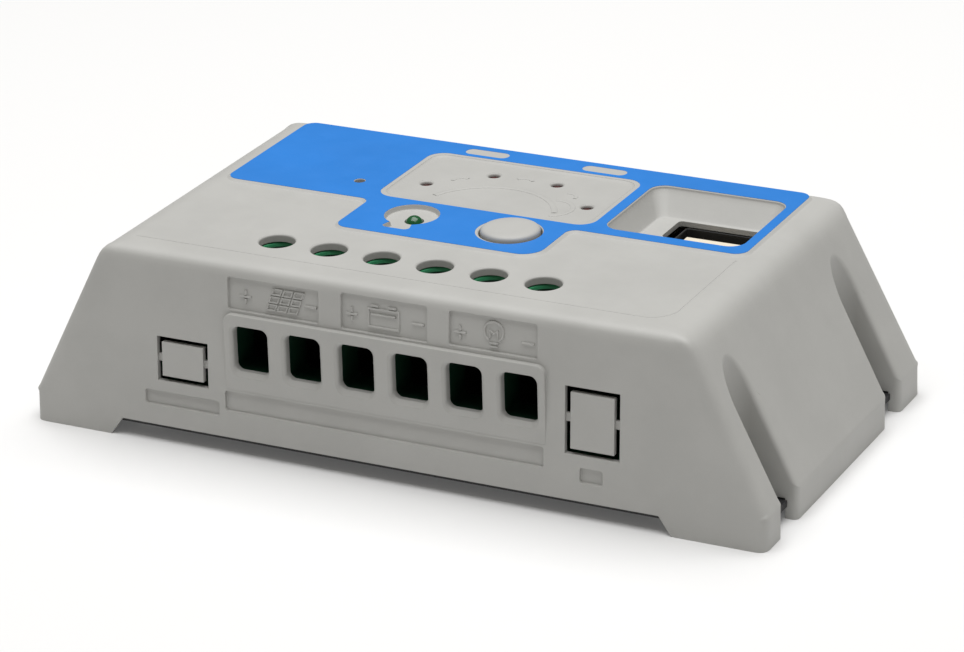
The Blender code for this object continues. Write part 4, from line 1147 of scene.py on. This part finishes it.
def terminal_block():
    left = pole_xs(POLE_X)[0] - PITCH / 2
    right = pole_xs(POLE_X)[-1] + PITCH / 2
    block = box("terminal_block", left, right, *BLOCK_YS, BLOCK_BOTTOM, BLOCK_TOP)
    unite(block, box("mouth", left, right, *LIP_YS, BLOCK_BOTTOM, LIP_TOP))
    mouths = []
    for x in pole_xs(WINDOW_X):
        ring = rounded_rect(x - ENTRY_HALF, x + ENTRY_HALF, *ENTRY_ZS, ENTRY_R, 4)
        mouths.append(loft("wire_mouth", [at_depth(ring, y) for y in ENTRY_YS]))
    rooms, shanks, bores, legs = [], [], [], []
    for x in pole_xs(POLE_X):
        rooms.append(box("cage_room", x - CAGE_HALF, x + CAGE_HALF, *CAGE_YS, *CAGE_ZS))
        shanks.append(cylinder("shank_hole", x, SCREW_Y, *SHANK_ZS, SHANK_HOLE_R, SMALL_SIDES))
        bores.append(cylinder("head_bore", x, SCREW_Y, HEAD_LEDGE_Z, 35.0, HEAD_BORE_R, 64))
        legs.append(box("leg_slot", x - LEG_HALF, x + LEG_HALF, *LEG_YS, *LEG_ZS))
    for group in (mouths, rooms, shanks, bores, legs):
        cut(block, merged("terminal_cutter", group))
    return smooth(block)


def terminal_collars():
    """Raised rings of the terminal block around the screw heads, seen through the round holes."""
    rings = [(COLLAR_R, BLOCK_TOP - 0.02), (COLLAR_R, COLLAR_TOP - COLLAR_EDGE),
             (COLLAR_R - COLLAR_EDGE, COLLAR_TOP)]
    collars = [loft("collar", [at_height(circle(x, SCREW_Y, r, 64), z) for r, z in rings])
               for x in pole_xs(POLE_X)]
    bores = [round_cutter("collar_bore", x, SCREW_Y, HEAD_BORE_R, HEAD_BORE_RIM, COLLAR_TOP,
                          HEAD_LEDGE_Z, 64) for x in pole_xs(POLE_X)]
    return smooth(cut(merged("terminal_collars", collars), merged("bores", bores)))


def terminal_screw(index, x):
    profile = list(SCREW_HEAD)
    z = THREAD_START
    while z > THREAD_END:
        profile += [(radius, z - deep) for radius, deep in THREAD_TURN]
        z -= THREAD_PITCH
    profile += SCREW_TIP
    screw = turned(f"terminal_screw_{index}_look", profile, x, SCREW_Y, 40)
    cut(screw, box("slot", x - SLOT_REACH, x + SLOT_REACH, SCREW_Y - SLOT_HALF,
                   SCREW_Y + SLOT_HALF, 29.0, 31.0))
    cut(screw, box("cross", x - SLOT_HALF, x + SLOT_HALF, SCREW_Y - CROSS_REACH,
                   SCREW_Y + CROSS_REACH, 28.9, 31.0))
    return smooth(screw)


# Lamps, button and USB receptacle

def led(name, x, y, tip_z):
    radius = LED_DOME_R
    turns = [math.radians(a) for a in range(0, 91, 9)]
    profile = [(radius * math.sin(a), tip_z - radius + radius * math.cos(a)) for a in turns]
    profile += [(r, tip_z - deep) for r, deep in LED_FOOT]
    return smooth(turned(name, profile, x, y, 40))


def led_legs(name, x, y, tip_z):
    half = LED_LEG_HALF
    pair = [box("leg", x + side - half, x + side + half, y - half, y + half, BOARD_TOP,
                tip_z - LED_LEG_START) for side in (-LED_LEG_X, LED_LEG_X)]
    return soften(merged(name, pair), 0.08)


def button_cap():
    profile = [(radius, BUTTON_TOP - deep) for radius, deep in BUTTON_CROWN] + list(BUTTON_STEM)
    return smooth(turned("button_cap_look", profile, *BUTTON, 72))


def usb_rect(inset):
    """Corners x0 x1 y0 y1 of the receptacle's outline, moved inwards."""
    cx, cy = USB_CENTRE
    hx, hy = USB_HALF
    return cx - hx + inset, cx + hx - inset, cy - hy + inset, cy + hy - inset


def usb_shell():
    def ring(inset, z):
        return at_height(rounded_rect(*usb_rect(inset), USB_CORNER_R - inset * 0.8), z)

    below_edge = USB_TOP - USB_EDGE_H
    shell = loft("usb_shell_look", [ring(0.0, BOARD_TOP), ring(0.0, below_edge),
                                    ring(USB_EDGE, USB_TOP)])
    inner = [ring(USB_WALL, 5.0), ring(USB_WALL, below_edge),
             ring(USB_WALL - USB_EDGE, USB_TOP + 0.02), ring(USB_WALL - USB_EDGE, 30.0)]
    return smooth(cut(shell, loft("inside", inner)))


def usb_insulator():
    cx = USB_CENTRE[0]
    body = box("usb_insulator_look", *usb_rect(USB_WALL + USB_GAP), BOARD_TOP, INSULATOR_TOP)
    unite(body, box("tongue", cx - TONGUE_HALF, cx + TONGUE_HALF, TONGUE_Y, TONGUE_Y + TONGUE_T,
                    *TONGUE_ZS))
    return soften(body, 0.15)


def usb_contacts():
    """Thin strips on the face of the tongue."""
    cx = USB_CENTRE[0]
    face = TONGUE_Y + TONGUE_T
    strips = [box("contact", cx + x - CONTACT_HALF, cx + x + CONTACT_HALF, face - 0.1, face + 0.12,
                  *CONTACT_ZS) for x in CONTACT_XS]
    return soften(merged("usb_contacts", strips), 0.05)


# Object

finish_piece(cover(), CASE_GREY, "case", "case", "top_cover")
finish_piece(front_symbols(), CASE_GREY, "case", "case")
finish_piece(panel_symbols(), CASE_GREY, "case", "case")
finish_piece(label(), LABEL_BLUE, "label", "case", "label_overlay")
# The terminal block takes the green darkened as painted shade, and its collars take the lit copy of
# the same green
finish_piece(terminal_block(), SHADED_TERMINAL_GREEN, "terminal_housing", "case", "terminal_block")
finish_piece(terminal_collars(), LIT_COLLAR_GREEN, "terminal_housing", "case")
for number, pole in enumerate(pole_xs(POLE_X), 1):
    finish_piece(terminal_screw(number, pole), PLATED_STEEL, "plated_steel", f"screw_{number}",
                 f"terminal_screw_{number}")
for number, (led_x, led_y) in enumerate(led_places(), 1):
    finish_piece(led(f"red_led_{number}", led_x, led_y, LED_TIP), RED_LENS, "red_lens", "case",
                 f"led_red_{number}")
    finish_piece(led_legs(f"red_led_legs_{number}", led_x, led_y, LED_TIP), TINNED,
                 "tinned_contact", "case")
finish_piece(led("green_led", *GREEN_LED, GREEN_TIP), GREEN_LENS, "green_lens", "case", "led_green")
finish_piece(led_legs("green_led_legs", *GREEN_LED, GREEN_TIP), TINNED, "tinned_contact", "case")
finish_piece(led("solar_led", *SOLAR_LED, SOLAR_TIP), CLEAR_LENS, "clear_lens", "case", "led_solar")
finish_piece(led_legs("solar_led_legs", *SOLAR_LED, SOLAR_TIP), TINNED, "tinned_contact", "case")
finish_piece(button_cap(), CASE_GREY, "case", "button", "button_cap")
finish_piece(usb_shell(), BLACK_PLASTIC, "black_part", "case", "usb_shell")
finish_piece(usb_insulator(), CREAM_PLASTIC, "usb_insulator", "case", "usb_insulator")
finish_piece(usb_contacts(), GOLD, "tinned_contact", "case")

for name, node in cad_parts.items():
    if node.hide_render:
        continue
    own = node.data.materials[0].name.split(".")[0]
    node.data.materials.clear()
    # The clamp cages take the steel darkened as painted shade in place of their plated finish
    node.data.materials.append(SHADED_CAGE_STEEL if name.startswith("clamp_cage") else CAD_FINISH[own])
    if name.startswith(EDGED_NODES):
        soften(node, 0.12)


# Studio

floor_mesh = bmesh.new()
bmesh.ops.create_grid(floor_mesh, x_segments=1, y_segments=1, size=6.0)
floor = object_from("floor", floor_mesh)
floor_look = Nodes("floor_white")
floor.data.materials.append(floor_look.finish({
    "Base Color": (0.76, 0.76, 0.76, 1.0), "Roughness": 0.9,
    "Emission Color": (1.0, 1.0, 1.0, 1.0), "Emission Strength": 0.08}))

light_data = bpy.data.lights.new("overhead", "AREA")
light_data.energy = 15.0
light_data.size = 1.1
overhead = new_object("overhead", light_data)
overhead.location = (0.0, 0.05, 1.0)
world = bpy.data.worlds.new("studio")
bpy.context.scene.world = world
world.use_nodes = True
world.node_tree.nodes["Background"].inputs["Color"].default_value = (1.0, 0.95, 0.86, 1.0)
world.node_tree.nodes["Background"].inputs["Strength"].default_value = 0.15

camera_data = bpy.data.cameras.new("camera")
camera_data.lens = 148.135
camera_data.sensor_width = 36.0
camera_data.sensor_fit = "HORIZONTAL"
camera_data.clip_start = 0.01
camera_data.clip_end = 50.0
camera = new_object("camera", camera_data)
right = Vector((0.89654282, 0.44211969, -0.02722419))
up = Vector((-0.14791478, 0.35674503, 0.92241759))
back = Vector((0.41753107, -0.82296, 0.38523323))
pose = Matrix((right, up, back)).transposed().to_4x4()
pose.translation = Vector((0.272476, -0.534982, 0.264817))
camera.matrix_world = pose
bpy.context.scene.camera = camera
bpy.context.scene.view_settings.view_transform = "Standard"
